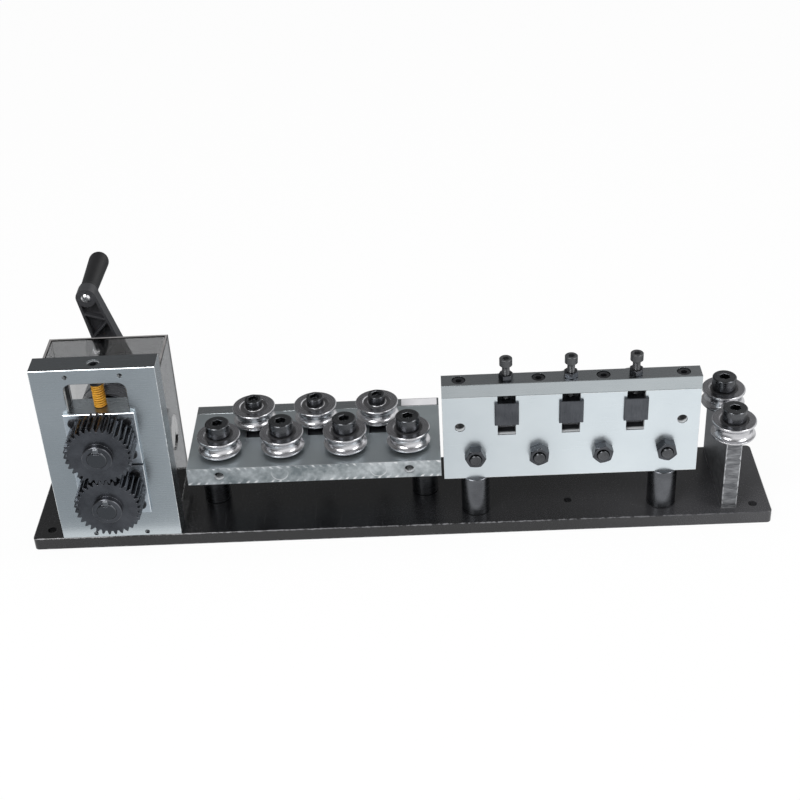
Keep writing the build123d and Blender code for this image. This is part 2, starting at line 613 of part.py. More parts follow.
spring_axis = Plane(origin=(drive_cx, spring_y, cap_z), x_dir=(1, 0, 0), z_dir=(0, 0, 1))
pilot_r = (spring_dia / 2 - wire_deep) - seat_gap
save(turned(spring_axis, [(0, -cap_thk - 4), (pilot_r, -cap_thk - 4), (pilot_r, -cap_thk),
                          (spring_dia / 2, -cap_thk), (spring_dia / 2, 0), (0, 0)]), "spring_cap")
screw_top = drive_top - screw_sunk - cap_z
save(turned(spring_axis, [(0, 0), (screw_dia / 2 - 1, 0), (screw_dia / 2, 1),
                          (screw_dia / 2, screw_top - 0.8), (screw_dia / 2 - 0.8, screw_top),
                          (0, screw_top)], m8_socket, 7, screw_top), "pressure_screw")

# ---------------------------------------------------------------- smoked cover behind the gear plate
# Five glued panels around the feed rolls; the wire passes the side panels, the crank shaft the rear.
cover_y0 = drive_y0 + drive_thk
cover_y1 = cover_y0 + cover_deep
cover_wid = drive_wid - 2 * cover_inset
with BuildPart() as cover:
    with BuildSketch(Plane.XY.offset(cover_z0)):
        with Locations((drive_cx, (cover_y0 + cover_y1) / 2)):
            Rectangle(cover_wid, cover_deep)
    extrude(amount=cover_top - cover_z0)
    with BuildSketch(Plane.XY.offset(cover_z0)):
        with Locations((drive_cx, (cover_y0 + cover_y1 - cover_thk) / 2)):
            Rectangle(cover_wid - 2 * cover_thk, cover_deep - cover_thk)
    extrude(amount=cover_top - cover_z0 - cover_thk, mode=Mode.SUBTRACT)
    with BuildSketch(Plane.YZ.offset(drive_x0)):
        with Locations((wire_y, wire_z)):
            Circle(wire_hole / 2)
    extrude(amount=drive_wid, mode=Mode.SUBTRACT)
    with BuildSketch(Plane.XZ.offset(-cover_y1 + cover_thk)):
        with Locations((drive_cx, high_z + lift / 2)):
            SlotOverall(crank_shaft_dia + lift + 8, crank_shaft_dia + 6, rotation=90)
    extrude(amount=-cover_thk, mode=Mode.SUBTRACT)
save(cover.part, "smoked_cover")

# ---------------------------------------------------------------- crank arm
tilt = radians(crank_tilt)
arm_face = Plane(origin=(drive_cx, crank_y, high_z), x_dir=(cos(tilt), 0, sin(tilt)), z_dir=(0, -1, 0))


def arm_outline(shrink):
    """Straight sides tangent to the hub and to the end, drawn up the arm."""
    s = (hub_r - 2 - arm_end_r) / crank_len
    c = sqrt(1 - s * s)
    r0, r1 = hub_r - 2 - shrink, arm_end_r - shrink
    return [(r0 * c, r0 * s), (r1 * c, crank_len + r1 * s), (-r1 * c, crank_len + r1 * s), (-r0 * c, r0 * s)]


rib_lean, rib_step = 33, 15.0
with BuildPart() as crank_arm:
    with BuildSketch(arm_face):
        Polygon(*arm_outline(0.0), align=None)
        Circle(hub_r)
        with Locations((0, crank_len)):
            Circle(arm_end_r)
    extrude(amount=-arm_thk)
    with BuildSketch(arm_face):
        Circle(hub_r)
    extrude(amount=crank_y - hub_y0)
    # the hollow in the front, crossed by zigzag ribs
    with BuildSketch(arm_face):
        Polygon(*arm_outline(arm_rim), align=None)
        Circle(hub_r + 2, mode=Mode.SUBTRACT)
        with Locations((0, crank_len)):
            Circle(arm_end_r, mode=Mode.SUBTRACT)
        for k in range(4):
            with Locations(Location((0, hub_r + 10 + rib_step * k), rib_lean * (-1) ** k)):
                Rectangle(4 * hub_r, rib_thk, mode=Mode.SUBTRACT)
    extrude(amount=-arm_sink, mode=Mode.SUBTRACT)
    with BuildSketch(arm_face.offset(crank_y - hub_y0)):
        Circle(crank_shaft_dia / 2 + running_fit)
    extrude(amount=-(crank_y - hub_y0 + arm_sink + seat_gap), mode=Mode.SUBTRACT)
    with BuildSketch(arm_face):
        with Locations((0, crank_len)):
            Circle(spindle_dia / 2 + bolt_fit)
    extrude(amount=-arm_thk, mode=Mode.SUBTRACT)
save(crank_arm.part, "crank_arm")

# ---------------------------------------------------------------- spindle and turning grip
pivot = Plane(origin=(drive_cx - crank_len * sin(tilt), crank_y, high_z + crank_len * cos(tilt)),
              x_dir=(1, 0, 0), z_dir=(0, 1, 0))
grip_start = arm_thk + seat_gap
bore_deep = grip_len - 4.0
save(turned(pivot, [(0, -1.8), (spindle_head / 2 - 2, -1.8), (spindle_head / 2, -0.2), (spindle_head / 2, 0),
                    (spindle_dia / 2, 0), (spindle_dia / 2, grip_start + bore_deep - seat_gap),
                    (0, grip_start + bore_deep - seat_gap)]), "grip_spindle")
with BuildPart() as crank_grip:
    start = pivot.offset(grip_start)
    with BuildSketch(Plane(origin=start.origin, x_dir=start.x_dir, z_dir=-start.y_dir)):
        with BuildLine():
            inner = spindle_dia / 2 + running_fit
            nose_z = grip_len - grip_nose_r
            Polyline((inner, 0), (grip_neck_r + 1, 0), (grip_neck_r + 1, 3.5), (grip_neck_r, 6))
            Line((grip_neck_r, 6), (grip_nose_r, nose_z))
            RadiusArc((grip_nose_r, nose_z), (0, grip_len), -grip_nose_r)
            Polyline((0, grip_len), (0, bore_deep), (inner, bore_deep), (inner, 0))
        make_face()
    revolve(axis=Axis(start.origin, start.z_dir))
save(crank_grip.part, "crank_grip")
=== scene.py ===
"""Looks of a hand cranked wire straightener, built around its packed construction model."""
import math

import bpy
import numpy as np
from mathutils import Matrix, Vector


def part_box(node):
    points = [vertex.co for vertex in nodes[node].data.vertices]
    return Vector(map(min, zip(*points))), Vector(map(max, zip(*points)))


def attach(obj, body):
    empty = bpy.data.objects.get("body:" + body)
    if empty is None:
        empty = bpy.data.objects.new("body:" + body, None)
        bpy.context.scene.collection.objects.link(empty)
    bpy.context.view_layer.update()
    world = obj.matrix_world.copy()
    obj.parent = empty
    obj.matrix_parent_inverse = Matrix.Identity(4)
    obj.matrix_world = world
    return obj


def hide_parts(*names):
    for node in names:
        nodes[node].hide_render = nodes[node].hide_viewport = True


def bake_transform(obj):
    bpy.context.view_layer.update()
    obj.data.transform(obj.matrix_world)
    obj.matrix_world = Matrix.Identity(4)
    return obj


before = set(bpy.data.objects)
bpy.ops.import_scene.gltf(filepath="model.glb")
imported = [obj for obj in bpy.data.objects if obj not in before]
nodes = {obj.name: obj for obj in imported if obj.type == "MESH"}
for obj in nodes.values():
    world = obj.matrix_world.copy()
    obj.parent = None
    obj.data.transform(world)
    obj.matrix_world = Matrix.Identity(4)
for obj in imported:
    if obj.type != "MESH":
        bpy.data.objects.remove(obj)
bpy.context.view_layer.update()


# ---- Baseplate -------------------------------------------------------------------------------
# A flat bar of mild steel, 14 mm thick, with drilled corners and sprayed semi gloss black paint.
# The paint is rubbed thin along the upper edges and carries dust and hairlines from the bench; towards the
# right end it also gets a painted sheen, lighter in noisy patches.
MM = 0.001


def pattern_tree(name, inputs, outputs):
    """An empty shader node group with named sockets; inputs is (name, kind, value) rows."""
    tree = bpy.data.node_groups.new(name, "ShaderNodeTree")
    for title, kind, value in inputs:
        socket = tree.interface.new_socket(title, in_out="INPUT", socket_type="NodeSocket" + kind)
        socket.default_value = value
    for title, kind in outputs:
        tree.interface.new_socket(title, in_out="OUTPUT", socket_type="NodeSocket" + kind)
    return tree


class Wiring:
    """Places nodes in one tree; a socket or a plain value may feed any input."""

    def __init__(self, tree):
        self.tree = tree

    def node(self, kind, feeds=(), **settings):
        made = self.tree.nodes.new(kind)
        for key, value in settings.items():
            setattr(made, key, value)
        for key, value in dict(feeds).items():
            if isinstance(value, bpy.types.NodeSocket):
                self.tree.links.new(value, made.inputs[key])
            else:
                made.inputs[key].default_value = value
        return made

    def math(self, operation, a, b=0.0, clamp=False):
        return self.node("ShaderNodeMath", {0: a, 1: b}, operation=operation, use_clamp=clamp).outputs[0]

    def vector(self, operation, a, b):
        return self.node("ShaderNodeVectorMath", {0: a, 1: b}, operation=operation).outputs[0]

    def dot(self, a, b):
        return self.node("ShaderNodeVectorMath", {0: a, 1: b}, operation="DOT_PRODUCT").outputs["Value"]

    def ramp(self, value, from_low, from_high, to_low=0.0, to_high=1.0):
        """Straight line between two values, held flat outside them."""
        return self.node("ShaderNodeMapRange", {"Value": value, "From Min": from_low, "From Max": from_high,
                                                "To Min": to_low, "To Max": to_high}).outputs[0]

    def noise(self, vector, scale, detail=2.0, rough=0.5):
        return self.node("ShaderNodeTexNoise", {"Vector": vector, "Scale": scale, "Detail": detail,
                                                "Roughness": rough}).outputs["Fac"]

    def mix(self, share, a, b):
        return self.node("ShaderNodeMixRGB", {"Fac": share, "Color1": a, "Color2": b}).outputs[0]

    def place(self):
        return self.node("ShaderNodeTexCoord").outputs["Object"]

    def split(self, vector):
        return self.node("ShaderNodeSeparateXYZ", {0: vector}).outputs

    def facing(self):
        """The three parts of the surface's own direction."""
        return self.split(self.node("ShaderNodeNewGeometry").outputs["Normal"])


def worked_surface_tree():
    """Colour patches, directional grain, hairlines and rubbed box edges for a worked surface.

    The rubbed edge is where the second smallest distance to the sides of the box from Low to High
    is under Wear, which on a face of the box is the distance to the nearest edge.  Depth is how
    far a point lies within the box: above 0 only on the walls of holes and slots.
    """
    tree = pattern_tree(
        "worked surface",
        [("Light", "Color", (0.5, 0.5, 0.5, 1)), ("Dark", "Color", (0.3, 0.3, 0.3, 1)),
         ("Edge", "Color", (0.8, 0.8, 0.8, 1)), ("Patch Scale", "Float", 20.0),
         ("Grain", "Vector", (300.0, 300.0, 300.0)), ("Rough Low", "Float", 0.25),
         ("Rough High", "Float", 0.45), ("Low", "Vector", (-9.0, -9.0, -9.0)),
         ("High", "Vector", (9.0, 9.0, 9.0)), ("Wear", "Float", 0.0005), ("Hairlines", "Float", 0.3),
         ("Grain Share", "Float", 0.06)],
        [("Color", "Color"), ("Roughness", "Float"), ("Height", "Float"), ("Depth", "Float")])
    w = Wiring(tree)
    given = w.node("NodeGroupInput").outputs
    place = w.place()
    patch = w.noise(place, given["Patch Scale"], 4.0, 0.6)
    grain = w.noise(w.vector("MULTIPLY", place, given["Grain"]), 1.0, 3.0, 0.6)
    lines = []
    for turn in ((0.3, 0.2, 0.9), (1.2, 0.5, 2.3)):
        tilted = w.node("ShaderNodeMapping", {"Vector": place, "Rotation": turn, "Scale": (1500, 18, 1500)})
        lines.append(w.ramp(w.noise(tilted.outputs[0], 1.0, 1.0), 0.70, 0.78))
    hair = w.math("MULTIPLY", w.math("MAXIMUM", *lines), given["Hairlines"])
    above_low = w.vector("SUBTRACT", place, given["Low"])
    below_high = w.vector("SUBTRACT", given["High"], place)
    x, y, z = w.split(w.vector("MINIMUM", above_low, below_high))
    least = w.math("MINIMUM", x, w.math("MINIMUM", y, z))
    most = w.math("MAXIMUM", x, w.math("MAXIMUM", y, z))
    total = w.math("ADD", x, w.math("ADD", y, z))
    to_edge = w.math("SUBTRACT", w.math("SUBTRACT", total, least), most)
    uneven = w.math("SUBTRACT", w.noise(place, 260.0, 3.0), 0.35)
    ragged = w.math("MULTIPLY", uneven, w.math("MULTIPLY", given["Wear"], 6.0))
    rubbed = w.math("MULTIPLY", w.ramp(w.math("SUBTRACT", to_edge, ragged), 0.0, given["Wear"], 1.0, 0.0),
                    w.math("GREATER_THAN", given["Wear"], 0.0))
    color = w.mix(w.ramp(patch, 0.35, 0.65), given["Dark"], given["Light"])
    color = w.mix(w.math("MULTIPLY", w.ramp(grain, 0.35, 0.7), given["Grain Share"]), color, given["Edge"])
    color = w.mix(w.math("MAXIMUM", rubbed, w.math("MULTIPLY", hair, 0.5)), color, given["Edge"])
    both = w.math("ADD", w.math("MULTIPLY", grain, 0.6), w.math("MULTIPLY", patch, 0.4))
    rough = w.ramp(both, 0.35, 0.65, given["Rough Low"], given["Rough High"])
    height = w.math("SUBTRACT", grain, hair)
    w.node("NodeGroupOutput", {"Color": color, "Roughness": rough, "Height": height, "Depth": least})
    return tree


worked_surface = worked_surface_tree()


class Finish:
    """A material whose colour, roughness and relief come from one pattern group."""

    def __init__(self, name, tree, metal, relief, **values):
        self.material = bpy.data.materials.new(name)
        self.material.use_nodes = True
        self.wiring = Wiring(self.material.node_tree)
        self.shader = self.material.node_tree.nodes["Principled BSDF"]
        self.shader.inputs["Metallic"].default_value = metal
        self.pattern = self.wiring.node("ShaderNodeGroup", node_tree=tree)
        for key, value in values.items():
            socket = self.pattern.inputs[key.replace("_", " ").title()]
            socket.default_value = (*value, 1) if socket.type == "RGBA" else value
        self.link(self.pattern.outputs["Color"], "Base Color")
        self.link(self.pattern.outputs["Roughness"], "Roughness")
        self.bump = self.wiring.node("ShaderNodeBump", {"Height": self.pattern.outputs["Height"],
                                                        "Distance": relief, "Strength": 1.0})
        self.link(self.bump.outputs[0], "Normal")

    def link(self, start, title):
        self.material.node_tree.links.new(start, self.shader.inputs[title])

    def cover(self, mask, color):
        """Lays a second colour over the first where the mask is 1."""
        first = self.shader.inputs["Base Color"].links[0].from_socket
        self.link(self.wiring.mix(mask, first, color), "Base Color")


def dress(name, finish, rounding=0.3):
    """Gives a construction node its finish; flat facets are joined and every edge is rounded."""
    piece = nodes[name]
    for slot in piece.material_slots:
        slot.material = finish.material
    polygons = piece.data.polygons
    polygons.foreach_set("use_smooth", np.ones(len(polygons), dtype=bool))
    weld = piece.modifiers.new("weld", "WELD")
    weld.merge_threshold = 1e-6
    flat = piece.modifiers.new("flat faces", "DECIMATE")
    flat.decimate_type = "DISSOLVE"
    flat.angle_limit = math.radians(0.4)
    edge = piece.modifiers.new("rounding", "BEVEL")
    edge.width = rounding * MM
    edge.segments = 2
    edge.limit_method = "ANGLE"
    edge.angle_limit = math.radians(32)
    piece.modifiers.new("even shading", "WEIGHTED_NORMAL")


low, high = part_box("baseplate")
base_paint = Finish("base paint", worked_surface, 0.0, 0.00003, light=(0.0075, 0.0078, 0.0088),
                    dark=(0.0035, 0.0036, 0.0042), edge=(0.16, 0.16, 0.17), patch_scale=9.0,
                    grain=(900, 900, 900), rough_low=0.17, rough_high=0.30, low=low, high=high,
                    wear=0.0005, hairlines=0.25)
w = base_paint.wiring
to_the_right = w.ramp(w.split(w.place())[0], 0.16, 0.38)
# Painted sheen with dust: the paint is made lighter in noisy patches towards the right end, standing in for
# brighter reflections there.
dust_and_sheen = w.math("MULTIPLY", to_the_right, w.ramp(w.noise(w.place(), 14.0, 4.0), 0.25, 0.65, 0.6, 1.0))
base_paint.cover(dust_and_sheen, (0.060, 0.060, 0.065, 1))
dress("baseplate", base_paint, 0.5)

# ---- Posts -----------------------------------------------------------------------------------
# Turned round steel, chamfered at both ends and bolted from under the base; the two thicker ones
# end in a pin inside the lower edge of the upright bank.
post_steel = Finish("post steel", worked_surface, 1.0, 0.000006, light=(0.155, 0.162, 0.175),
                    dark=(0.092, 0.096, 0.105), edge=(0.4, 0.4, 0.42), patch_scale=25.0,
                    grain=(40, 40, 1600), rough_low=0.22, rough_high=0.38, wear=0.0, hairlines=0.2)
dress("posts", post_steel, 0.2)


# ---- Bank plates and adjusting bars ----------------------------------------------------------
# Bright plated flat steel, 20 mm thick.  The faces are ground along their length and the long
# edges are fly cut, which leaves pairs of short curved nicks near each corner.
flat_x, flat_y, flat_top = -215.0, -60.0, 97.0
up_x, up_face, up_foot = 48.0, -23.0, 60.0
bank_thk, bar_edge = 20.0, 115.0


def fly_cut_tree():
    """Short slanting nicks near both corners of a 20 mm edge, painted highlights at two holes, and cutter
    sweeps with painted sheen.

    A nick is where the sine of X plus 0.9 times the distance from the middle line rises from 0.35
    to 0.7; it fades in from 6 to 9 mm away from that line, and noise leaves some out.  Hole Glints are
    painted highlights: crescents 9 mm from a hole's axis, on its lower half.  Sweeps And Sheen are
    cloudy bands of noise with a share of the same sine, cutter sweeps together with painted sheen, and
    Edge is 1 on faces that look along Y.
    """
    tree = pattern_tree("fly cut", [("Middle", "Float", 0.087), ("Pitch", "Float", 0.0085)],
                        [("Nicks", "Float"), ("Hole Glints", "Float"), ("Sweeps And Sheen", "Float"), ("Edge", "Float")])
    w = Wiring(tree)
    given = w.node("NodeGroupInput").outputs
    place = w.place()
    x, _, z = w.split(place)
    off = w.math("ABSOLUTE", w.math("SUBTRACT", z, given["Middle"]))
    phase = w.math("DIVIDE", w.math("ADD", x, w.math("MULTIPLY", off, 0.9)), given["Pitch"])
    turns = w.math("ADD", phase, w.math("MULTIPLY", w.noise(place, 60.0), 0.8))
    wave = w.math("SINE", w.math("MULTIPLY", turns, 2 * math.pi))
    near = w.math("MULTIPLY", w.ramp(off, 0.0062, 0.0088), w.ramp(off, 0.0098, 0.0094))
    broken = w.ramp(w.noise(place, 110.0, 2.0), 0.38, 0.55)
    faces_front = w.ramp(w.math("ABSOLUTE", w.facing()[1]), 0.8, 0.95)
    nicks = w.math("MULTIPLY", w.math("MULTIPLY", w.ramp(wave, 0.35, 0.7), near),
                   w.math("MULTIPLY", broken, faces_front))
    # Painted highlights: bright crescents on the lower half of a ring round two holes.
    rings, glint_hole_z = [], 0.0883
    for glint_hole_x in (-0.120, -0.019):
        across, above = w.math("SUBTRACT", x, glint_hole_x), w.math("SUBTRACT", z, glint_hole_z)
        squares = w.math("ADD", w.math("MULTIPLY", across, across), w.math("MULTIPLY", above, above))
        away = w.math("SQRT", squares)
        line = w.math("MULTIPLY", w.ramp(away, 0.0074, 0.0086), w.ramp(away, 0.0090, 0.0088))
        rings.append(w.math("MULTIPLY", w.math("MULTIPLY", line, w.ramp(above, 0.003, -0.006)), faces_front))
    # Cutter sweeps with painted sheen: cloudy bright and dark bands.
    cloud = w.noise(place, 42.0, 4.0, 0.65)
    sweeps_and_sheen = w.ramp(w.math("ADD", cloud, w.math("MULTIPLY", wave, 0.014)), 0.36, 0.68)
    w.node("NodeGroupOutput", {"Nicks": nicks, "Hole Glints": w.math("MAXIMUM", *rings), "Sweeps And Sheen": sweeps_and_sheen,
                               "Edge": faces_front})
    return tree


def plated(name, light, dark, box, patch_scale=7.0, rough=0.22, relief=0.000003, hairlines=0.18,
           grain_share=0.06):
    low, high = box
    return Finish(name, worked_surface, 1.0, relief, light=light, dark=dark, edge=(0.90, 0.92, 0.93),
                  patch_scale=patch_scale, grain=(25, 1400, 1400), rough_low=rough, rough_high=rough + 0.12,
                  low=low, high=high, wear=0.00022, hairlines=hairlines, grain_share=grain_share)


def cut_walls(finish):
    """Drilled and milled walls: pale bare steel within 4 mm of the face, darkened by painted shade below 6 mm.
    """
    w, depth = finish.wiring, finish.pattern.outputs["Depth"]
    bare, deep_shade = (0.84, 0.86, 0.88, 1), (0.045, 0.048, 0.052, 1)
    wall = w.ramp(depth, 0.0008, 0.0018)
    # Painted shade: the walls turn dark from 4 to 6.5 mm deep into a hole or slot.
    finish.cover(wall, w.mix(w.ramp(depth, 0.004, 0.0065), bare, deep_shade))
    finish.link(w.ramp(wall, 0.0, 1.0, 1.0, 0.15), "Metallic")


def paint_top_shade(finish, color):
    """Faces that look up are painted darker than the sides, as painted shade."""
    finish.cover(finish.wiring.ramp(finish.wiring.facing()[2], 0.80, 0.96), color)


flat_plated = plated("flat bank plating", (0.60, 0.665, 0.69), (0.49, 0.54, 0.565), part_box("flat_plate"),
                     rough=0.42)
w = flat_plated.wiring
edge_middle = (flat_top - bank_thk / 2) * MM
cut = w.node("ShaderNodeGroup", {"Middle": edge_middle}, node_tree=fly_cut_tree()).outputs
# The front edge takes the sweeps with painted sheen, from dark to pale.
flat_plated.cover(cut["Edge"], w.mix(cut["Sweeps And Sheen"], (0.25, 0.285, 0.30, 1), (0.70, 0.74, 0.76, 1)))
# Nicks and the painted hole highlights, both in near white.
nicks_and_glints = w.math("MAXIMUM", cut["Nicks"], w.math("MULTIPLY", cut["Hole Glints"], 0.7))
flat_plated.cover(nicks_and_glints, (0.97, 0.98, 0.99, 1))
cut_walls(flat_plated)
dress("flat_plate", flat_plated, 0.4)
upright_plated = plated("upright bank plating", (0.73, 0.795, 0.83), (0.655, 0.72, 0.76),
                        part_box("upright_plate"), rough=0.26, relief=0.0000012, hairlines=0.06,
                        grain_share=0.02)
cut_walls(upright_plated)
dress("upright_plate", upright_plated, 0.4)
everywhere = (-9, -9, -9), (9, 9, 9)  # so wide that no edge wear shows
bar_plated = plated("bar plating", (0.50, 0.54, 0.56), (0.42, 0.46, 0.48), everywhere)
# Painted shade: the bars' up-facing faces are coloured darker.
paint_top_shade(bar_plated, (0.33, 0.35, 0.365, 1))
dress("adjusting_bars", bar_plated, 0.3)


# ---- Blank label -----------------------------------------------------------------------------
# A thin paper label under clear film, stuck on the right end of the flat bank's bar; nothing is
# printed on it.
label_x, label_y, label_thick, label_round = (5.0, 43.0), (41.2, 53.8), 0.12, 0.8
label = bpy.data.meshes.new("blank label")
quarter = np.radians(np.linspace(0, 90, 5))
left, right = label_x[0] + label_round, label_x[1] - label_round
front, back = label_y[0] + label_round, label_y[1] - label_round
centres = [(right, back), (left, back), (left, front), (right, front)]
outline = np.vstack([
    centre + np.stack([np.cos(quarter + q * np.pi / 2), np.sin(quarter + q * np.pi / 2)], -1) * label_round
    for q, centre in enumerate(centres)])
count = len(outline)
label_points = np.vstack([np.column_stack([outline, np.full(count, flat_top + lift)])
                          for lift in (0.0, label_thick)]) * MM
sides = [(i, (i + 1) % count, count + (i + 1) % count, count + i) for i in range(count)]
upper_face, lower_face = tuple(range(count, 2 * count)), tuple(range(count - 1, -1, -1))
label.from_pydata(label_points.tolist(), [], sides + [upper_face, lower_face])
label_paper = Finish("label paper", worked_surface, 0.0, 0.00002, light=(0.74, 0.73, 0.75),
                     dark=(0.66, 0.655, 0.68), edge=(0.80, 0.79, 0.80), patch_scale=60.0,
                     grain=(900, 900, 900), rough_low=0.30, rough_high=0.45, wear=0.0, hairlines=0.15)
label.materials.append(label_paper.material)
label_piece = bpy.data.objects.new("blank_label", label)
bpy.context.scene.collection.objects.link(label_piece)
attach(label_piece, "machine_frame")

# ---- Screws of the frame ---------------------------------------------------------------------
# Socket screws and nuts in black oxide, a little oily, so that they show soft bright edges.
black_oxide = Finish("black oxide", worked_surface, 0.75, 0.00001, light=(0.050, 0.052, 0.058),
                     dark=(0.024, 0.025, 0.028), edge=(0.14, 0.145, 0.155), patch_scale=120.0,
                     grain=(1200, 1200, 1200), rough_low=0.24, rough_high=0.38, wear=0.0, hairlines=0.1)
dress("m8_screws", black_oxide, 0.2)


# ---- Rollers ---------------------------------------------------------------------------------
# Hardened, ground and polished steel rings with a round groove, pressed on sealed bearings.  All
# sixteen are one turning, so one profile is carried round each axle.
def soften(profile, cut):
    """Each inner corner becomes a short parabola from cut before it to cut after it."""
    p = np.array(profile, dtype=float)
    back, ahead = p[:-2] - p[1:-1], p[2:] - p[1:-1]
    back_long, ahead_long = np.linalg.norm(back, axis=1)[:, None], np.linalg.norm(ahead, axis=1)[:, None]
    reach = np.minimum(cut, 0.45 * np.minimum(back_long, ahead_long))
    start = p[1:-1] + back / back_long * reach
    end = p[1:-1] + ahead / ahead_long * reach
    t = np.linspace(0, 1, 4)[None, :, None]
    arcs = (1 - t) ** 2 * start[:, None] + 2 * t * (1 - t) * p[1:-1][:, None] + t ** 2 * end[:, None]
    return np.vstack([p[:1], arcs.reshape(-1, 2), p[-1:]])


def on_flat(along, across, height=0.0):
    return np.array([flat_x + along, flat_y + across, flat_top + height]), np.eye(3)


def on_upright(along, across, height=0.0):
    """Heights stand off the rear face, along Y; minus X and Z lie in the face."""
    axes = np.array([[-1, 0, 0], [0, 0, 1], [0, 1, 0]])
    return np.array([up_x + along, up_face + height, up_foot + across]), axes


def turned_arrays(radii, heights, place, closed):
    """Skin of revolution: ring k stands at heights[k] with radius radii[k, j] at angle 2 pi j / n.

    A closed profile joins its last ring to its first; an open one ends in two poles on the axis.
    """
    origin, (e1, e2, normal) = place
    rings, sides = radii.shape
    angle = 2 * np.pi * np.arange(sides) / sides
    points = (origin + radii[..., None] * (np.cos(angle)[:, None] * e1 + np.sin(angle)[:, None] * e2)
              + np.asarray(heights)[:, None, None] * normal)
    step = np.hypot(np.diff(radii[:, 0]), np.diff(heights))
    run = np.concatenate([[0], np.cumsum(step)]) / 10
    if closed:
        lower, upper = np.arange(rings), (np.arange(rings) + 1) % rings
        v_low, v_high = run, np.append(run[1:], run[-1] + 0.05)
    else:
        lower, upper = np.arange(1, rings - 2), np.arange(2, rings - 1)
        v_low, v_high = run[1:-2], run[2:-1]
    j = np.arange(sides)
    k = (j + 1) % sides
    quads = np.stack([lower[:, None] * sides + j, lower[:, None] * sides + k,
                      upper[:, None] * sides + k, upper[:, None] * sides + j], axis=-1).reshape(-1, 4)
    u0, u1 = np.tile(j / sides, len(lower)), np.tile((j + 1) / sides, len(lower))
    a, b = np.repeat(v_low, sides), np.repeat(v_high, sides)
    quad_uv = np.stack([np.stack(corner, -1) for corner in ((u0, a), (u1, a), (u1, b), (u0, b))], 1)
    if closed:
        return points.reshape(-1, 3), [quads], [quad_uv]
    ends, end_uv = [], []
    for ring, pole, flip in ((1, 0, True), (rings - 2, (rings - 1) * sides, False)):
        first, second = (k, j) if flip else (j, k)
        ends.append(np.stack([ring * sides + first, ring * sides + second, np.full(sides, pole)], -1))
        v, v_pole = np.full(sides, run[ring]), np.full(sides, run[0 if flip else -1])
        end_uv.append(np.stack([np.stack([first / sides, v], -1), np.stack([second / sides, v], -1),
                                np.stack([(j + 0.5) / sides, v_pole], -1)], 1))
    return points.reshape(-1, 3), [quads] + ends, [quad_uv] + end_uv


def skin_object(name, parts, finish, body, replaced=(), others=(), which=None):
    """One smooth mesh of several skins, in millimetres, that rides on a body, where one is given.

    which gives each face its finish: 0 the first one, 1 and up the others in their order.
    """
    points, faces, uvs, base = [], [], [], 0
    for part_points, part_faces, part_uvs in parts:
        points.append(part_points)
        faces += [f + base for f in part_faces]
        uvs += part_uvs
        base += len(part_points)
    points = np.vstack(points) * MM
    used = np.zeros(len(points), dtype=bool)
    for f in faces:
        used[f.ravel()] = True
    renumber = np.cumsum(used) - 1
    counts = np.concatenate([np.full(len(f), f.shape[1]) for f in faces])
    corners = np.concatenate([renumber[f].ravel() for f in faces])
    mesh = bpy.data.meshes.new(name)
    mesh.vertices.add(int(used.sum()))
    mesh.vertices.foreach_set("co", points[used].ravel())
    mesh.loops.add(len(corners))
    mesh.loops.foreach_set("vertex_index", corners)
    mesh.polygons.add(len(counts))
    mesh.polygons.foreach_set("loop_start", np.concatenate([[0], np.cumsum(counts)[:-1]]))
    mesh.polygons.foreach_set("use_smooth", np.ones(len(counts), dtype=bool))
    mesh.uv_layers.new(name="turning").data.foreach_set(
        "uv", np.concatenate([u.reshape(-1, 2) for u in uvs]).ravel())
    mesh.update(calc_edges=True)
    mesh.validate()
    mesh.set_sharp_from_angle(angle=math.radians(34))
    mesh.materials.append(finish.material)
    for other in others:
        mesh.materials.append(other.material)
    if others:
        mesh.polygons.foreach_set("material_index", np.asarray(which, dtype=np.int32))
    piece = bpy.data.objects.new(name, mesh)
    bpy.context.scene.collection.objects.link(piece)
    piece.modifiers.new("even shading", "WEIGHTED_NORMAL").keep_sharp = True
    if body:
        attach(piece, body)
    if replaced:
        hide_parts(*replaced)
    return piece


def turning_tree():
    """Fine rings left by the tool: noise read along the profile, with patches round the axis."""
    tree = pattern_tree(
        "turning", [("Light", "Color", (0.6, 0.6, 0.6, 1)), ("Dark", "Color", (0.4, 0.4, 0.4, 1)),
                    ("Rings", "Float", 60.0), ("Rough Low", "Float", 0.1), ("Rough High", "Float", 0.2)],
        [("Color", "Color"), ("Roughness", "Float"), ("Height", "Float")])
    w = Wiring(tree)
    given = w.node("NodeGroupInput").outputs
    u, v, _ = w.split(w.node("ShaderNodeTexCoord").outputs["UV"])
    angle = w.math("MULTIPLY", u, 2 * math.pi)
    around = w.node("ShaderNodeCombineXYZ", {0: w.math("COSINE", angle), 1: w.math("SINE", angle),
                                             2: w.math("MULTIPLY", v, given["Rings"])}).outputs[0]
    rings = w.noise(around, 1.0, 3.0, 0.6)
    patch = w.noise(w.place(), 90.0, 3.0)
    both = w.math("ADD", w.math("MULTIPLY", rings, 0.6), w.math("MULTIPLY", patch, 0.4))
    color = w.mix(w.ramp(both, 0.38, 0.62), given["Dark"], given["Light"])
    rough = w.ramp(rings, 0.3, 0.7, given["Rough Low"], given["Rough High"])
    w.node("NodeGroupOutput", {"Color": color, "Roughness": rough, "Height": rings})
    return tree


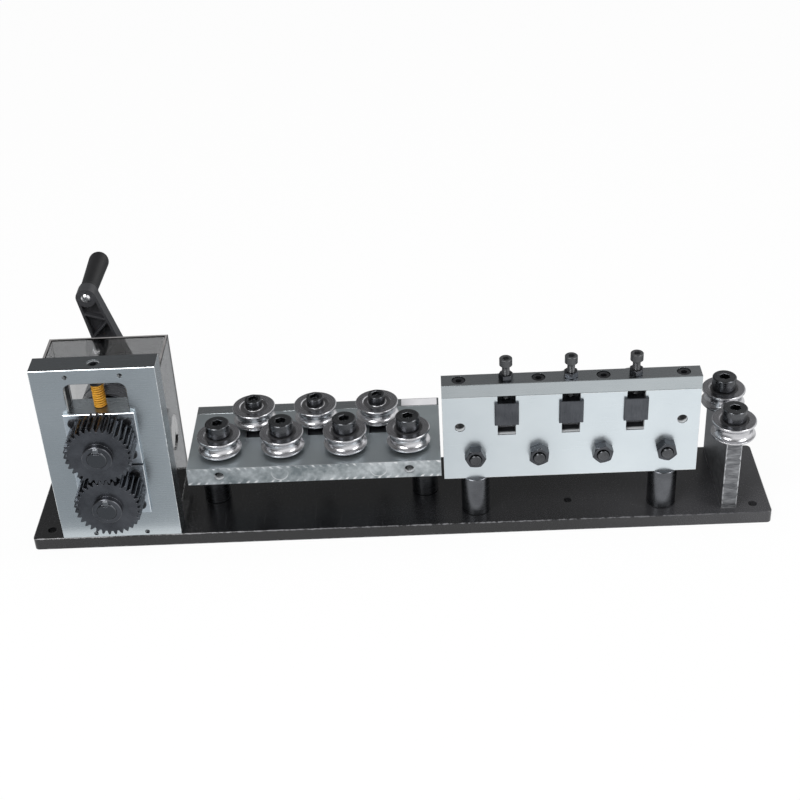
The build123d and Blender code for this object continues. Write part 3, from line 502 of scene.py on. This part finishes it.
turning = turning_tree()
polished = Finish("polished roller steel", turning, 1.0, 0.000004, light=(0.62, 0.62, 0.64),
                  dark=(0.50, 0.50, 0.52), rings=60.0, rough_low=0.20, rough_high=0.31)
rim_face = Finish("ground roller face", turning, 1.0, 0.000004, light=(0.36, 0.36, 0.38),
                  dark=(0.27, 0.27, 0.285), rings=60.0, rough_low=0.20, rough_high=0.30)
seal_rubber = Finish("bearing seal", turning, 0.0, 0.00002, light=(0.060, 0.060, 0.064),
                     dark=(0.042, 0.042, 0.045), rings=30.0, rough_low=0.34, rough_high=0.50)
roller_foot, roller_top, rim = 4.0, 22.0, 22.5
groove_root, groove_half = 17.0, 6.66
groove_arc = ((rim - groove_root) ** 2 + groove_half ** 2) / (2 * (rim - groove_root))
sweep_end = math.asin(groove_half / groove_arc)
sweep = np.linspace(-sweep_end, sweep_end, 19)
roller_middle, roller_sides = (roller_foot + roller_top) / 2, 112
groove = np.stack([groove_root + groove_arc * (1 - np.cos(sweep)),
                   roller_middle + groove_arc * np.sin(sweep)], -1)
race, shield, step, sunk, journal, chamfer = 10.0, 14.2, 1.0, 1.2, 7.56, 0.8
lower_half = [(journal, 8), (journal, roller_foot + 0.3), (race, roller_foot + 0.3),
              (race + 0.4, roller_foot + sunk), (shield, roller_foot + sunk), (shield + step, roller_foot),
              (rim - chamfer, roller_foot), (rim, roller_foot + chamfer)]
upper_half = [(rim, roller_top - chamfer), (rim - chamfer, roller_top), (shield + step, roller_top),
              (shield, roller_top - sunk), (race + 0.4, roller_top - sunk), (race, roller_top),
              (journal, roller_top), (journal, 18)]
roller_profile = soften(lower_half + [tuple(p) for p in groove] + upper_half, 0.45)
roller_radii = np.repeat(roller_profile[:, :1], roller_sides, axis=1)
radius, from_middle = roller_profile[:, 0], abs(roller_profile[:, 1] - roller_middle)
in_seal = (radius > race + 0.15) & (radius < shield + 0.25)
on_face = (radius > shield + step - 0.2) & (from_middle > 8.7)
roller_skins = np.where(in_seal & np.roll(in_seal, -1), 1, np.where(on_face & np.roll(on_face, -1), 2, 0))
spacing, fixed_row, moving_row = 65.0, 30.0, 79.6
fixed_at = [spacing * (i + 0.5) for i in range(4)]
moving_at = [spacing * (i + 1) for i in range(3)]
guide_x, guide_top, wire_y, guide_half = 344.0, 97.0, -10.0, 29.0
guide_places = {"front": (np.array([guide_x, wire_y - guide_half, guide_top]), np.eye(3)),
                "rear": (np.array([guide_x, wire_y + guide_half, guide_top]), np.eye(3))}
roller_places = {"guide_roller_" + side: place for side, place in guide_places.items()}
for bank, on_bank, near, far in (("flat", on_flat, "front", "rear"), ("upright", on_upright, "low", "high")):
    for i, along in enumerate(fixed_at):
        roller_places[f"{bank}_roller_{near}_{i + 1}"] = on_bank(along, fixed_row)
    for i, along in enumerate(moving_at):
        roller_places[f"{bank}_roller_{far}_{i + 1}"] = on_bank(along, moving_row)
for node, place in roller_places.items():
    skin_object("turned_" + node, [turned_arrays(roller_radii, roller_profile[:, 1], place, True)], polished,
                node + "_wheel", [node], (seal_rubber, rim_face),
                np.repeat(roller_skins, roller_sides))

# ---- Axles -----------------------------------------------------------------------------------
# Shouldered axles with a large socket head, turned and blackened.  The fixed ones have a tall head
# and a nut behind the plate; those of the slides have a lower, smaller head.
axle_sides = 96
around = 2 * np.pi * np.arange(axle_sides) / axle_sides
# A hexagon's radius over half its width across flats, at each angle.
hexagon = 1 / np.cos((around + np.pi / 6) % (np.pi / 3) - np.pi / 6)
axle_black = Finish("blackened axle", turning, 1.0, 0.000006, light=(0.12, 0.124, 0.132),
                    dark=(0.072, 0.075, 0.080), rings=40.0, rough_low=0.20, rough_high=0.32)


def socket_turning(profile, across_flats, floor, cut=0.35):
    """Rings of a turned head that ends in a hexagon socket; the profile ends at the socket's rim."""
    outside = soften(profile, cut)
    top = outside[-1, 1]
    flat = across_flats / 2
    inside = np.array([(flat + 0.35, top), (flat, top - 0.35), (flat, floor + 0.4), (flat - 0.4, floor),
                       (0.6, floor - 1.2), (0, floor - 1.2)])
    shape = np.vstack([outside[:-1], inside])
    hexed = np.concatenate([np.zeros(len(outside) - 1), np.ones(5), [0]])[:, None]
    return shape[:, :1] * (1 + hexed * (hexagon - 1)), shape[:, 1]


fixed_axle = socket_turning(
    [(0, -32.5), (5.2, -32.5), (6, -31.7), (6, 0), (10, 0), (10, 4), (7.5, 4), (7.5, 22.3), (12.5, 22.3),
     (12.5, 35.1), (11.6, 36), (6, 36)], 10, 29)
slide_axle = socket_turning(
    [(0, -17.5), (6, -17.5), (6, 0.3), (11, 0.3), (11, 3.5), (10, 4), (7.5, 4), (7.5, 22.3), (9, 22.3),
     (9, 30.3), (8.3, 31), (6, 31)], 10, 26)
bank_axles = [on_bank(along, fixed_row) for on_bank in (on_flat, on_upright) for along in fixed_at]
skin_object("fixed_axle_set", [turned_arrays(*fixed_axle, place, False)
                               for place in bank_axles + list(guide_places.values())],
            axle_black, "machine_frame", ["fixed_axles"])
for bank, on_bank in (("flat", on_flat), ("upright", on_upright)):
    for i, along in enumerate(moving_at):
        skin = turned_arrays(*slide_axle, on_bank(along, moving_row), False)
        skin_object(f"{bank}_moving_axle_{i + 1}", [skin], axle_black, f"{bank}_{i + 1}_carriage",
                    [f"{bank}_slide_axle_{i + 1}"])

# ---- Slides and adjusting screws -------------------------------------------------------------
# Milled blocks fill the slots and carry the moving rollers.  An M8 screw with a knurled socket head
# pushes each block from the bar and is held by a thin nut.
slide_steel = Finish("slide block steel", worked_surface, 1.0, 0.000005, light=(0.092, 0.098, 0.110),
                     dark=(0.068, 0.073, 0.083), edge=(0.42, 0.43, 0.45), patch_scale=60.0,
                     grain=(900, 900, 120), rough_low=0.26, rough_high=0.40, wear=0.0, hairlines=0.25)
screw_black = Finish("blackened adjusting screw", turning, 0.6, 0.000006, light=(0.105, 0.108, 0.112),
                     dark=(0.066, 0.068, 0.072), rings=40.0, rough_low=0.34, rough_high=0.48)
thread_pitch, thread_deep, screw_r, head_r = 1.25, 0.6, 4.0, 6.5
screw_seat, tip_beyond_axle = bar_edge + 16.0, 7.0
screw_long = screw_seat - moving_row - tip_beyond_axle
# The thread's flank is a triangle wave of the height over the pitch, less the share of a turn.
shank = np.arange(-screw_long + 0.6, -0.4, thread_pitch / 6)
wave = np.abs(2 * ((shank[:, None] / thread_pitch - around / (2 * np.pi)) % 1) - 1)
shank_radii = screw_r - 0.02 - thread_deep * (1 - wave)
knurl = 0.10 * np.abs(np.sin(12 * around))
head_rows = np.array([(screw_r - 0.1, -0.2), (screw_r, 0), (head_r - 0.3, 0), (head_r, 0.3)])
ribbed_rows = np.linspace(0.8, 7.0, 8)
top_rows = np.array([(head_r, 7.4), (head_r - 0.6, 8.0), (3.4, 8.0), (3.0, 7.7), (3.0, 4.2), (2.6, 3.8),
                     (0.5, 3.2), (0, 3.2)])
top_hexed = np.array([0, 0, 1, 1, 1, 1, 1, 0])[:, None]
screw_radii = np.vstack([np.zeros((1, axle_sides)), np.full((1, axle_sides), screw_r - 0.8), shank_radii,
                         np.repeat(head_rows[:, :1], axle_sides, axis=1),
                         np.repeat(head_r - knurl[None], len(ribbed_rows), axis=0),
                         top_rows[:, :1] * (1 + top_hexed * (hexagon - 1))])
screw_heights = np.concatenate([[-screw_long, -screw_long], shank, head_rows[:, 1], ribbed_rows,
                                top_rows[:, 1]])
for bank, on_bank in (("flat", on_flat), ("upright", on_upright)):
    for i, along in enumerate(moving_at):
        dress(f"{bank}_slide_{i + 1}", slide_steel, 0.4)
        origin, axes = on_bank(along, screw_seat, -bank_thk / 2)
        skin = turned_arrays(screw_radii, screw_heights, (origin, axes[[2, 0, 1]]), False)
        skin_object(f"{bank}_adjusting_screw_{i + 1}", [skin], screw_black, f"{bank}_{i + 1}_adjusting_screw",
                    [f"{bank}_adjuster_{i + 1}"])

# ---- Nuts ------------------------------------------------------------------------------------
# Chamfered hexagon nuts: M12 ones behind the plates hold the fixed axles, thin M8 ones lock the
# adjusting screws on the bars.
def nut_arrays(place, flats, high, bore, turn):
    """The radius is the hexagon's, cut by 30 degree cones at both ends and round at the bore."""
    origin, (e1, e2, normal) = place
    c, s = math.cos(math.radians(turn)), math.sin(math.radians(turn))
    turned = origin, (c * e1 + s * e2, c * e2 - s * e1, normal)
    rows = np.array([0.05, 0.25, 0.5, 0.8, 1.2, 1.7])
    heights = np.concatenate([[0], rows, high - rows[::-1], [high]])
    cone = flats / 2 - 0.35 + 1.73 * np.minimum(heights, high - heights)
    outside = np.minimum(flats / 2 * hexagon, cone[:, None])
    inside = [(bore + 0.7, high), (bore, high - 0.7), (bore, 0.7), (bore + 0.7, 0)]
    radii = np.vstack([outside, [np.full(axle_sides, r) for r, _ in inside]])
    return turned_arrays(radii, np.concatenate([heights, [h for _, h in inside]]), turned, True)


nut_black = Finish("blackened nut", worked_surface, 1.0, 0.000006, light=(0.085, 0.09, 0.10),
                   dark=(0.058, 0.061, 0.068), edge=(0.4, 0.41, 0.43), patch_scale=150.0,
                   grain=(900, 900, 900), rough_low=0.16, rough_high=0.25, wear=0.0, hairlines=0.05)
flipped = np.array([[-1, 0, 0], [0, 1, 0], [0, 0, -1]])
behind = [(origin - bank_thk * axes[2], flipped @ axes) for origin, axes in bank_axles]
skin_object("axle_nut_set", [nut_arrays(place, 19.0, 10.0, 6.0, turn)
                             for place, turn in zip(behind, (8, 24, 41, 15, 28, 54, 46, 12))],
            nut_black, "machine_frame", ["axle_nuts"])
seats = [(origin, axes[[2, 0, 1]]) for on_bank in (on_flat, on_upright)
         for origin, axes in [on_bank(along, bar_edge, -bank_thk / 2) for along in moving_at]]
skin_object("lock_nut_set", [nut_arrays(place, 13.0, 6.4, 4.05, turn)
                             for place, turn in zip(seats, (0, 12, 47, 5, 33, 20))],
            nut_black, "machine_frame", ["lock_nuts"])

# ---- Inlet upright ---------------------------------------------------------------------------
# A piece of sawn flat bar on edge, left as it came from the saw, with light saw marks down its
# narrow front and mill scale on its sides.
low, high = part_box("guide_upright")
mill_steel = Finish("sawn mill steel", worked_surface, 0.9, 0.00012, light=(0.15, 0.155, 0.165),
                    dark=(0.085, 0.088, 0.095), edge=(0.55, 0.56, 0.58), patch_scale=35.0,
                    grain=(90, 90, 480), rough_low=0.30, rough_high=0.50, low=low, high=high, wear=0.0006,
                    hairlines=0.4, grain_share=0.4)
dress("guide_upright", mill_steel, 0.4)

# ---- Gear plate and bearing blocks -----------------------------------------------------------
# The gear plate is the same plated stock on edge.  The two bearing blocks are brighter, milled
# steel; their front lips overlap the window and are held by four low black screws each.
gear_plated = plated("gear plate plating", (0.60, 0.65, 0.68), (0.50, 0.55, 0.58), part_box("gear_plate"), 5.0,
                     relief=0.0000014, hairlines=0.10, grain_share=0.02)
cut_walls(gear_plated)
# Painted shade: the gear plate's top is coloured darker.
paint_top_shade(gear_plated, (0.21, 0.225, 0.24, 1))
dress("gear_plate", gear_plated, 0.25)
for name, rounding in (("lower_block", 0.25), ("upper_block", 0.06)):
    low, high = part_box(name)
    milled = Finish(name.replace("_", " ") + " steel", worked_surface, 1.0, 0.00001, light=(0.76, 0.83, 0.89),
                    dark=(0.64, 0.71, 0.77), edge=(0.85, 0.88, 0.92), patch_scale=40.0, grain=(60, 700, 700),
                    rough_low=0.24, rough_high=0.38, low=low, high=high, wear=0.0004, hairlines=0.2)
    # Painted shade: the blocks' up-facing faces are coloured darker.
    paint_top_shade(milled, (0.33, 0.36, 0.38, 1))
    dress(name, milled, rounding)
    dress(name + "_screws", black_oxide, 0.2)

# ---- Feed rolls and gears --------------------------------------------------------------------
# Hardened dark rolls, one piece with their shafts, and two module 2 spur gears, hobbed and blackened.
# Each gear is held by a square key of bright steel.
roll_steel = Finish("hardened roll steel", worked_surface, 1.0, 0.000006, light=(0.13, 0.135, 0.145),
                    dark=(0.085, 0.088, 0.096), edge=(0.5, 0.5, 0.52), patch_scale=50.0, grain=(30, 1500, 30),
                    rough_low=0.20, rough_high=0.32, wear=0.0, hairlines=0.1)
gear_black = Finish("gear black oxide", worked_surface, 1.0, 0.000006, light=(0.145, 0.15, 0.165),
                    dark=(0.085, 0.088, 0.098), edge=(0.32, 0.33, 0.35), patch_scale=45.0,
                    grain=(800, 60, 800), rough_low=0.24, rough_high=0.36, wear=0.0, hairlines=0.15)
w = roll_steel.wiring
# The shafts' noses stand in front of the gears and are left a little darker.
roll_steel.cover(w.ramp(w.split(w.place())[1], -0.0965, -0.0985), (0.11, 0.115, 0.125, 1))
for name in ("upper_roll_shaft", "lower_roll_shaft"):
    dress(name, roll_steel, 0.4)
key_steel = Finish("bright key steel", worked_surface, 1.0, 0.000006, light=(0.30, 0.31, 0.33),
                   dark=(0.20, 0.21, 0.22), edge=(0.6, 0.6, 0.62), patch_scale=160.0, grain=(900, 60, 900),
                   rough_low=0.25, rough_high=0.38, wear=0.0, hairlines=0.2)
shaft_nose, key_half = 10.0, 2.96
# A square's radius over half its side at each angle, with its corners cut.
square = np.minimum(1 / np.maximum(abs(np.cos(around)), abs(np.sin(around))), 1.33)
for name, body in (("upper_gear", "crank_shaft"), ("lower_gear", "lower_shaft")):
    dress(name, gear_black, 0.25)
    low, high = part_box(name)
    middle = (np.array(low) + np.array(high)) / 2 / MM
    key_long = (high[1] - low[1]) / MM
    rows = np.array([(0, 0), (key_half, 0), (key_half, key_long - 0.3), (key_half - 0.35, key_long),
                     (0, key_long)])
    along_shaft = np.array([[1, 0, 0], [0, 0, 1], [0, -1, 0]])
    seat = np.array([middle[0], high[1] / MM, middle[2] + shaft_nose]), along_shaft
    skin = turned_arrays(rows[:, :1] * square, rows[:, 1], seat, False)
    skin_object(name.replace("gear", "key"), [skin], key_steel, body)

# ---- Pressure spring, cap and screw ----------------------------------------------------------
# A die spring of flat wire in yellow paint, chipped on its edges, under a turned cap and a set
# screw sunk in the top of the gear plate.
spring_paint = Finish("yellow spring paint", worked_surface, 0.0, 0.00004, light=(0.78, 0.40, 0.035),
                      dark=(0.60, 0.27, 0.020), edge=(0.85, 0.52, 0.10), patch_scale=140.0,
                      grain=(700, 700, 700), rough_low=0.28, rough_high=0.42, wear=0.0, hairlines=0.2)
cap_low, cap_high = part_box("spring_cap")
cap_pilot = 4.0
spring_foot, spring_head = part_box("upper_block")[1][2] / MM, cap_low[2] / MM + cap_pilot
spring_x, spring_y = (cap_low[0] + cap_high[0]) / 2 / MM, (cap_low[1] + cap_high[1]) / 2 / MM
wire_tall, wire_deep, wire_sides = 1.5, 2.1, 24
coil_r, coils, turn_steps, ground = 5.35, 10.5, 64, 0.05


def coil_arrays(first, last):
    """Flat wire carried up a helix from one turn to another.

    The pitch is the wire's height at both ends and wider between, and both ends are ground flat, so
    no point is lower than the foot or higher than the head.
    """
    turns = np.linspace(0, coils, 1009)
    opening = np.clip(np.minimum(turns, coils - turns) - 0.6, 0, 1)
    pace = 1 + 0.75 * opening ** 2 * (3 - 2 * opening)
    rise = np.concatenate([[0], np.cumsum((pace[1:] + pace[:-1]) / 2)])
    rise = spring_foot + 0.3 + rise / rise[-1] * (spring_head - spring_foot - 0.6)
    along = np.linspace(first, last, int(round((last - first) * turn_steps)) + 1)
    angle = 2 * np.pi * along[:, None]
    j = np.arange(wire_sides)
    k = (j + 1) % wire_sides
    corner = 2 * np.pi * j / wire_sides
    out = wire_deep / 2 * np.sign(np.cos(corner)) * np.abs(np.cos(corner)) ** 0.4
    up = wire_tall / 2 * np.sign(np.sin(corner)) * np.abs(np.sin(corner)) ** 0.4
    radius = coil_r + out
    height = np.interp(along, turns, rise)[:, None] + up
    height = np.clip(height, spring_foot + ground, spring_head - ground)
    points = np.stack([spring_x + radius * np.cos(angle), spring_y + radius * np.sin(angle), height], -1)
    spans = len(along) - 1
    i = np.arange(spans)[:, None] * wire_sides
    quads = np.stack([i + j, i + wire_sides + j, i + wire_sides + k, i + k], -1).reshape(-1, 4)
    v0, u0 = np.repeat(along[:-1], wire_sides), np.tile(j / wire_sides, spans)
    v1, u1 = v0 + along[1] - along[0], u0 + 1 / wire_sides
    quad_uv = np.stack([np.stack(corner_uv, -1) for corner_uv in ((u0, v0), (u0, v1), (u1, v1), (u1, v0))], 1)
    ends = np.stack([j, spans * wire_sides + j[::-1]])
    return points.reshape(-1, 3), [quads, ends], [quad_uv, np.zeros((2, wire_sides, 2))]


for name, turns, body, seat_z in (("spring_lower_coils", (0, coils / 2), "upper_bearing", spring_foot),
                                  ("spring_upper_coils", (coils / 2, coils), "spring_seat", spring_head)):
    coil = skin_object(name, [coil_arrays(*turns)], spring_paint, None, ["pressure_spring"])
    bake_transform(coil)
dress("spring_cap", black_oxide, 0.2)
dress("pressure_screw", black_oxide, 0.2)

# ---- Smoked cover ----------------------------------------------------------------------------
# Panels of 3 mm smoked acrylic with polished edges and faint smears, glued at the corners.  Thin grey
# strips along the top and rear edges are painted highlights of those edges.
acrylic = Finish("smoked acrylic", worked_surface, 0.0, 0.000002, light=(0.6, 0.6, 0.6), dark=(0.6, 0.6, 0.6),
                 edge=(0.6, 0.6, 0.6), patch_scale=14.0, grain=(60, 60, 60), rough_low=0.0, rough_high=0.045,
                 wear=0.0, hairlines=0.0)
acrylic.material.node_tree.links.remove(acrylic.shader.inputs["Base Color"].links[0])
acrylic.shader.inputs["Base Color"].default_value = (0.44, 0.443, 0.448, 1)
acrylic.shader.inputs["Transmission Weight"].default_value = 1.0
acrylic.shader.inputs["IOR"].default_value = 1.49
dress("smoked_cover", acrylic, 0.3)


def strips(boxes):
    """Closed blocks, each from its lowest to its highest corner; faces point outwards."""
    corner = np.array([(x, y, z) for x in (0, 1) for y in (0, 1) for z in (0, 1)])
    face = np.array([(0, 1, 3, 2), (4, 6, 7, 5), (0, 4, 5, 1), (2, 3, 7, 6), (0, 2, 6, 4), (1, 5, 7, 3)])
    square_uv = np.array([(0, 0), (1, 0), (1, 1), (0, 1)])
    return [(np.array(a) + corner * (np.array(b) - np.array(a)), [face], [np.tile(square_uv, (6, 1, 1))])
            for a, b in boxes]


# Painted highlights: thin grey strips laid along the cover's top and rear edges.
glint_strip_wide, glint_strip_thick, glint_strip_in, glint_strip_gap = 2.0, 0.06, 0.5, 0.02
glint_strip_out = glint_strip_in + glint_strip_wide
glint_strip_far = glint_strip_out + glint_strip_gap
(x0, y0, z0), (x1, y1, z1) = (np.array(corner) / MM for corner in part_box("smoked_cover"))
glint_strip_finish = Finish("painted cover edge highlight", worked_surface, 0.0, 0.00001, light=(0.26, 0.25, 0.25),
              dark=(0.17, 0.165, 0.165), edge=(0.4, 0.4, 0.4), patch_scale=50.0, grain=(300, 300, 300),
              rough_low=0.25, rough_high=0.40, wear=0.0, hairlines=0.2)
skin_object("cover_edge_highlight_strips", strips([
    ((x0 + glint_strip_in, y0 + glint_strip_in, z1), (x0 + glint_strip_out, y1 - glint_strip_in, z1 + glint_strip_thick)),
    ((x1 - glint_strip_out, y0 + glint_strip_in, z1), (x1 - glint_strip_in, y1 - glint_strip_in, z1 + glint_strip_thick)),
    ((x0 + glint_strip_far, y1 - glint_strip_out, z1), (x1 - glint_strip_far, y1 - glint_strip_in, z1 + glint_strip_thick)),
    ((x1, y1 - glint_strip_out, z0 + glint_strip_in), (x1 + glint_strip_thick, y1 - glint_strip_in, z1 - glint_strip_in)),
    ((x0 - glint_strip_thick, y1 - glint_strip_out, z0 + glint_strip_in), (x0, y1 - glint_strip_in, z1 - glint_strip_in))]),
    glint_strip_finish, "machine_frame")

# ---- Crank -----------------------------------------------------------------------------------
# Moulded black plastic arm with a ribbed hollow and a grip that turns on a plated screw.
plastic = Finish("moulded black plastic", worked_surface, 0.0, 0.00004, light=(0.010, 0.0105, 0.012),
                 dark=(0.006, 0.006, 0.007), edge=(0.06, 0.06, 0.065), patch_scale=30.0,
                 grain=(1400, 1400, 1400), rough_low=0.42, rough_high=0.58, wear=0.0, hairlines=0.1)
# Painted light: the arm uses a lighter copy of the black plastic, to make up for the shade it sits in.
lightened_arm_plastic = Finish("ribbed arm plastic lightened for shade", worked_surface, 0.0, 0.00004, light=(0.040, 0.041, 0.046),
                     dark=(0.029, 0.0295, 0.033), edge=(0.09, 0.09, 0.095), patch_scale=30.0,
                     grain=(1400, 1400, 1400), rough_low=0.38, rough_high=0.52, wear=0.0, hairlines=0.1)
plastic.shader.inputs["Specular IOR Level"].default_value = 0.35
dress("crank_arm", lightened_arm_plastic, 0.7)
dress("crank_grip", plastic, 0.4)
zinc = Finish("zinc plated screw", worked_surface, 1.0, 0.000005, light=(0.80, 0.80, 0.81),
              dark=(0.66, 0.66, 0.68), edge=(0.9, 0.9, 0.9), patch_scale=200.0, grain=(1500, 1500, 1500),
              rough_low=0.16, rough_high=0.28, wear=0.0, hairlines=0.1)
dress("grip_spindle", zinc, 0.08)

# ---- Camera ----------------------------------------------------------------------------------
# Stands a little right of the middle, 1.3 m in front and 1 m up.  It looks down by 34 degrees and
# is rolled by three.
focal_px, image_px, sensor = 1462.86, 800, 36
yaw, pitch, roll = 0.0279, 0.5874, 0.0553
eye = Vector((0.04035, -1.26199, 0.97259))
ahead = Vector((-math.sin(yaw) * math.cos(pitch), math.cos(yaw) * math.cos(pitch), -math.sin(pitch)))
level_right = Vector((math.cos(yaw), math.sin(yaw), 0))
level_down = ahead.cross(level_right)
right = math.cos(roll) * level_right + math.sin(roll) * level_down
down = math.cos(roll) * level_down - math.sin(roll) * level_right
camera = bpy.data.objects.new("camera", bpy.data.cameras.new("camera"))
camera.data.sensor_width = sensor
camera.data.lens = sensor * focal_px / image_px
camera.matrix_world = Matrix((
    (right.x, -down.x, -ahead.x, eye.x),
    (right.y, -down.y, -ahead.y, eye.y),
    (right.z, -down.z, -ahead.z, eye.z),
    (0, 0, 0, 1)))
bpy.context.scene.collection.objects.link(camera)
bpy.context.scene.camera = camera

# ---- Studio ----------------------------------------------------------------------------------
# White paper floor and world, two soft lamps, and two cloths that only reflections see.  Reflections
# also see a dim room with a window, a rear wall and a door, which give polished steel its dark halves.
def stage_sheet(name, x, y, height, material):
    """A level rectangle between two places along X and two along Y."""
    mesh = bpy.data.meshes.new(name)
    mesh.from_pydata([(x[i], y[j], height) for i, j in ((0, 0), (1, 0), (1, 1), (0, 1))], [], [(0, 1, 2, 3)])
    mesh.materials.append(material)
    thing = bpy.data.objects.new(name, mesh)
    bpy.context.scene.collection.objects.link(thing)
    return thing


def seen_share(w, plain, mirrored):
    """What rays see: 1 from the camera and through glass, mirrored off gloss, plain otherwise."""
    rays = w.node("ShaderNodeLightPath").outputs
    white = w.math("MAXIMUM", rays["Is Camera Ray"], rays["Is Transmission Ray"])
    added = w.math("MULTIPLY", rays["Is Glossy Ray"], w.math("SUBTRACT", mirrored, plain))
    return w.math("MAXIMUM", white, w.math("ADD", added, plain))


paper = bpy.data.materials.new("white paper")
paper.use_nodes = True
w = Wiring(paper.node_tree)
diffuse = paper.node_tree.nodes["Principled BSDF"]
diffuse.inputs["Base Color"].default_value = (0.93, 0.93, 0.93, 1)
diffuse.inputs["Roughness"].default_value = 0.95
glow = w.node("ShaderNodeEmission", {"Color": (1, 1, 1, 1), "Strength": 1.0})
blend = w.node("ShaderNodeMixShader", {0: w.math("MULTIPLY", seen_share(w, 0.0, 0.92), 0.94),
                                       1: diffuse.outputs[0], 2: glow.outputs[0]})
paper.node_tree.links.new(blend.outputs[0], paper.node_tree.nodes["Material Output"].inputs["Surface"])
stage_sheet("floor", (-12, 12), (-12, 12), 0, paper)

world = bpy.data.worlds.new("studio")
bpy.context.scene.world = world
world.use_nodes = True
w = Wiring(world.node_tree)
background = world.node_tree.nodes["Background"]
background.inputs["Color"].default_value = (1, 1, 1, 1)
way = w.node("ShaderNodeTexCoord").outputs["Generated"]
_, back, up = w.split(way)
window = w.math("MULTIPLY", w.ramp(w.dot(way, (0.80, -0.60, 0.0)), 0.05, 0.45), w.ramp(up, 0.85, 0.45))
rear_wall = w.math("MULTIPLY", w.ramp(back, 0.2, 0.7), 0.12)
door = w.math("MULTIPLY", w.ramp(w.dot(way, (0.505, 0.808, 0.303)), 0.93, 0.975), 0.8)
room = w.math("ADD", w.math("ADD", window, 0.14), w.math("ADD", rear_wall, door))
world.node_tree.links.new(seen_share(w, 0.6, room), background.inputs["Strength"])


def mirrored_cloth(name, x, y, paint):
    """A cloth 1 mm over the floor that only reflections see; paint gives its colour from its wiring."""
    cloth = bpy.data.materials.new(name)
    cloth.use_nodes = True
    w = Wiring(cloth.node_tree)
    glow = w.node("ShaderNodeEmission", {"Color": paint(w), "Strength": 1.0})
    cloth.node_tree.links.new(glow.outputs[0], cloth.node_tree.nodes["Material Output"].inputs["Surface"])
    card = stage_sheet(name, x, y, 0.001, cloth)
    card.visible_camera = card.visible_diffuse = card.visible_transmission = card.visible_shadow = False


mirrored_cloth("left cloth", (-3.0, 0.18), (-3.0, -0.09),
               lambda w: w.mix(w.ramp(w.split(w.place())[0], -0.33, 0.12), (0.40, 0.42, 0.44, 1),
                               (0.84, 0.84, 0.84, 1)))
mirrored_cloth("rear cloth", (-3.0, 3.0), (0.075, 4.0), lambda w: (0.30, 0.31, 0.32, 1))

aim = Vector((0, 0, 0.08))
for name, place, size, power in (("key", (-0.9, -1.2, 1.7), 1.0, 22), ("fill", (1.4, -0.6, 1.5), 0.8, 10)):
    lamp = bpy.data.objects.new(name, bpy.data.lights.new(name, "AREA"))
    lamp.data.shape = "DISK"
    lamp.data.size = size
    lamp.data.energy = power
    toward = aim - Vector(place)
    lamp.matrix_world = Matrix.Translation(place) @ toward.to_track_quat("-Z", "Y").to_matrix().to_4x4()
    bpy.context.scene.collection.objects.link(lamp)
bpy.context.scene.view_settings.view_transform = "Standard"
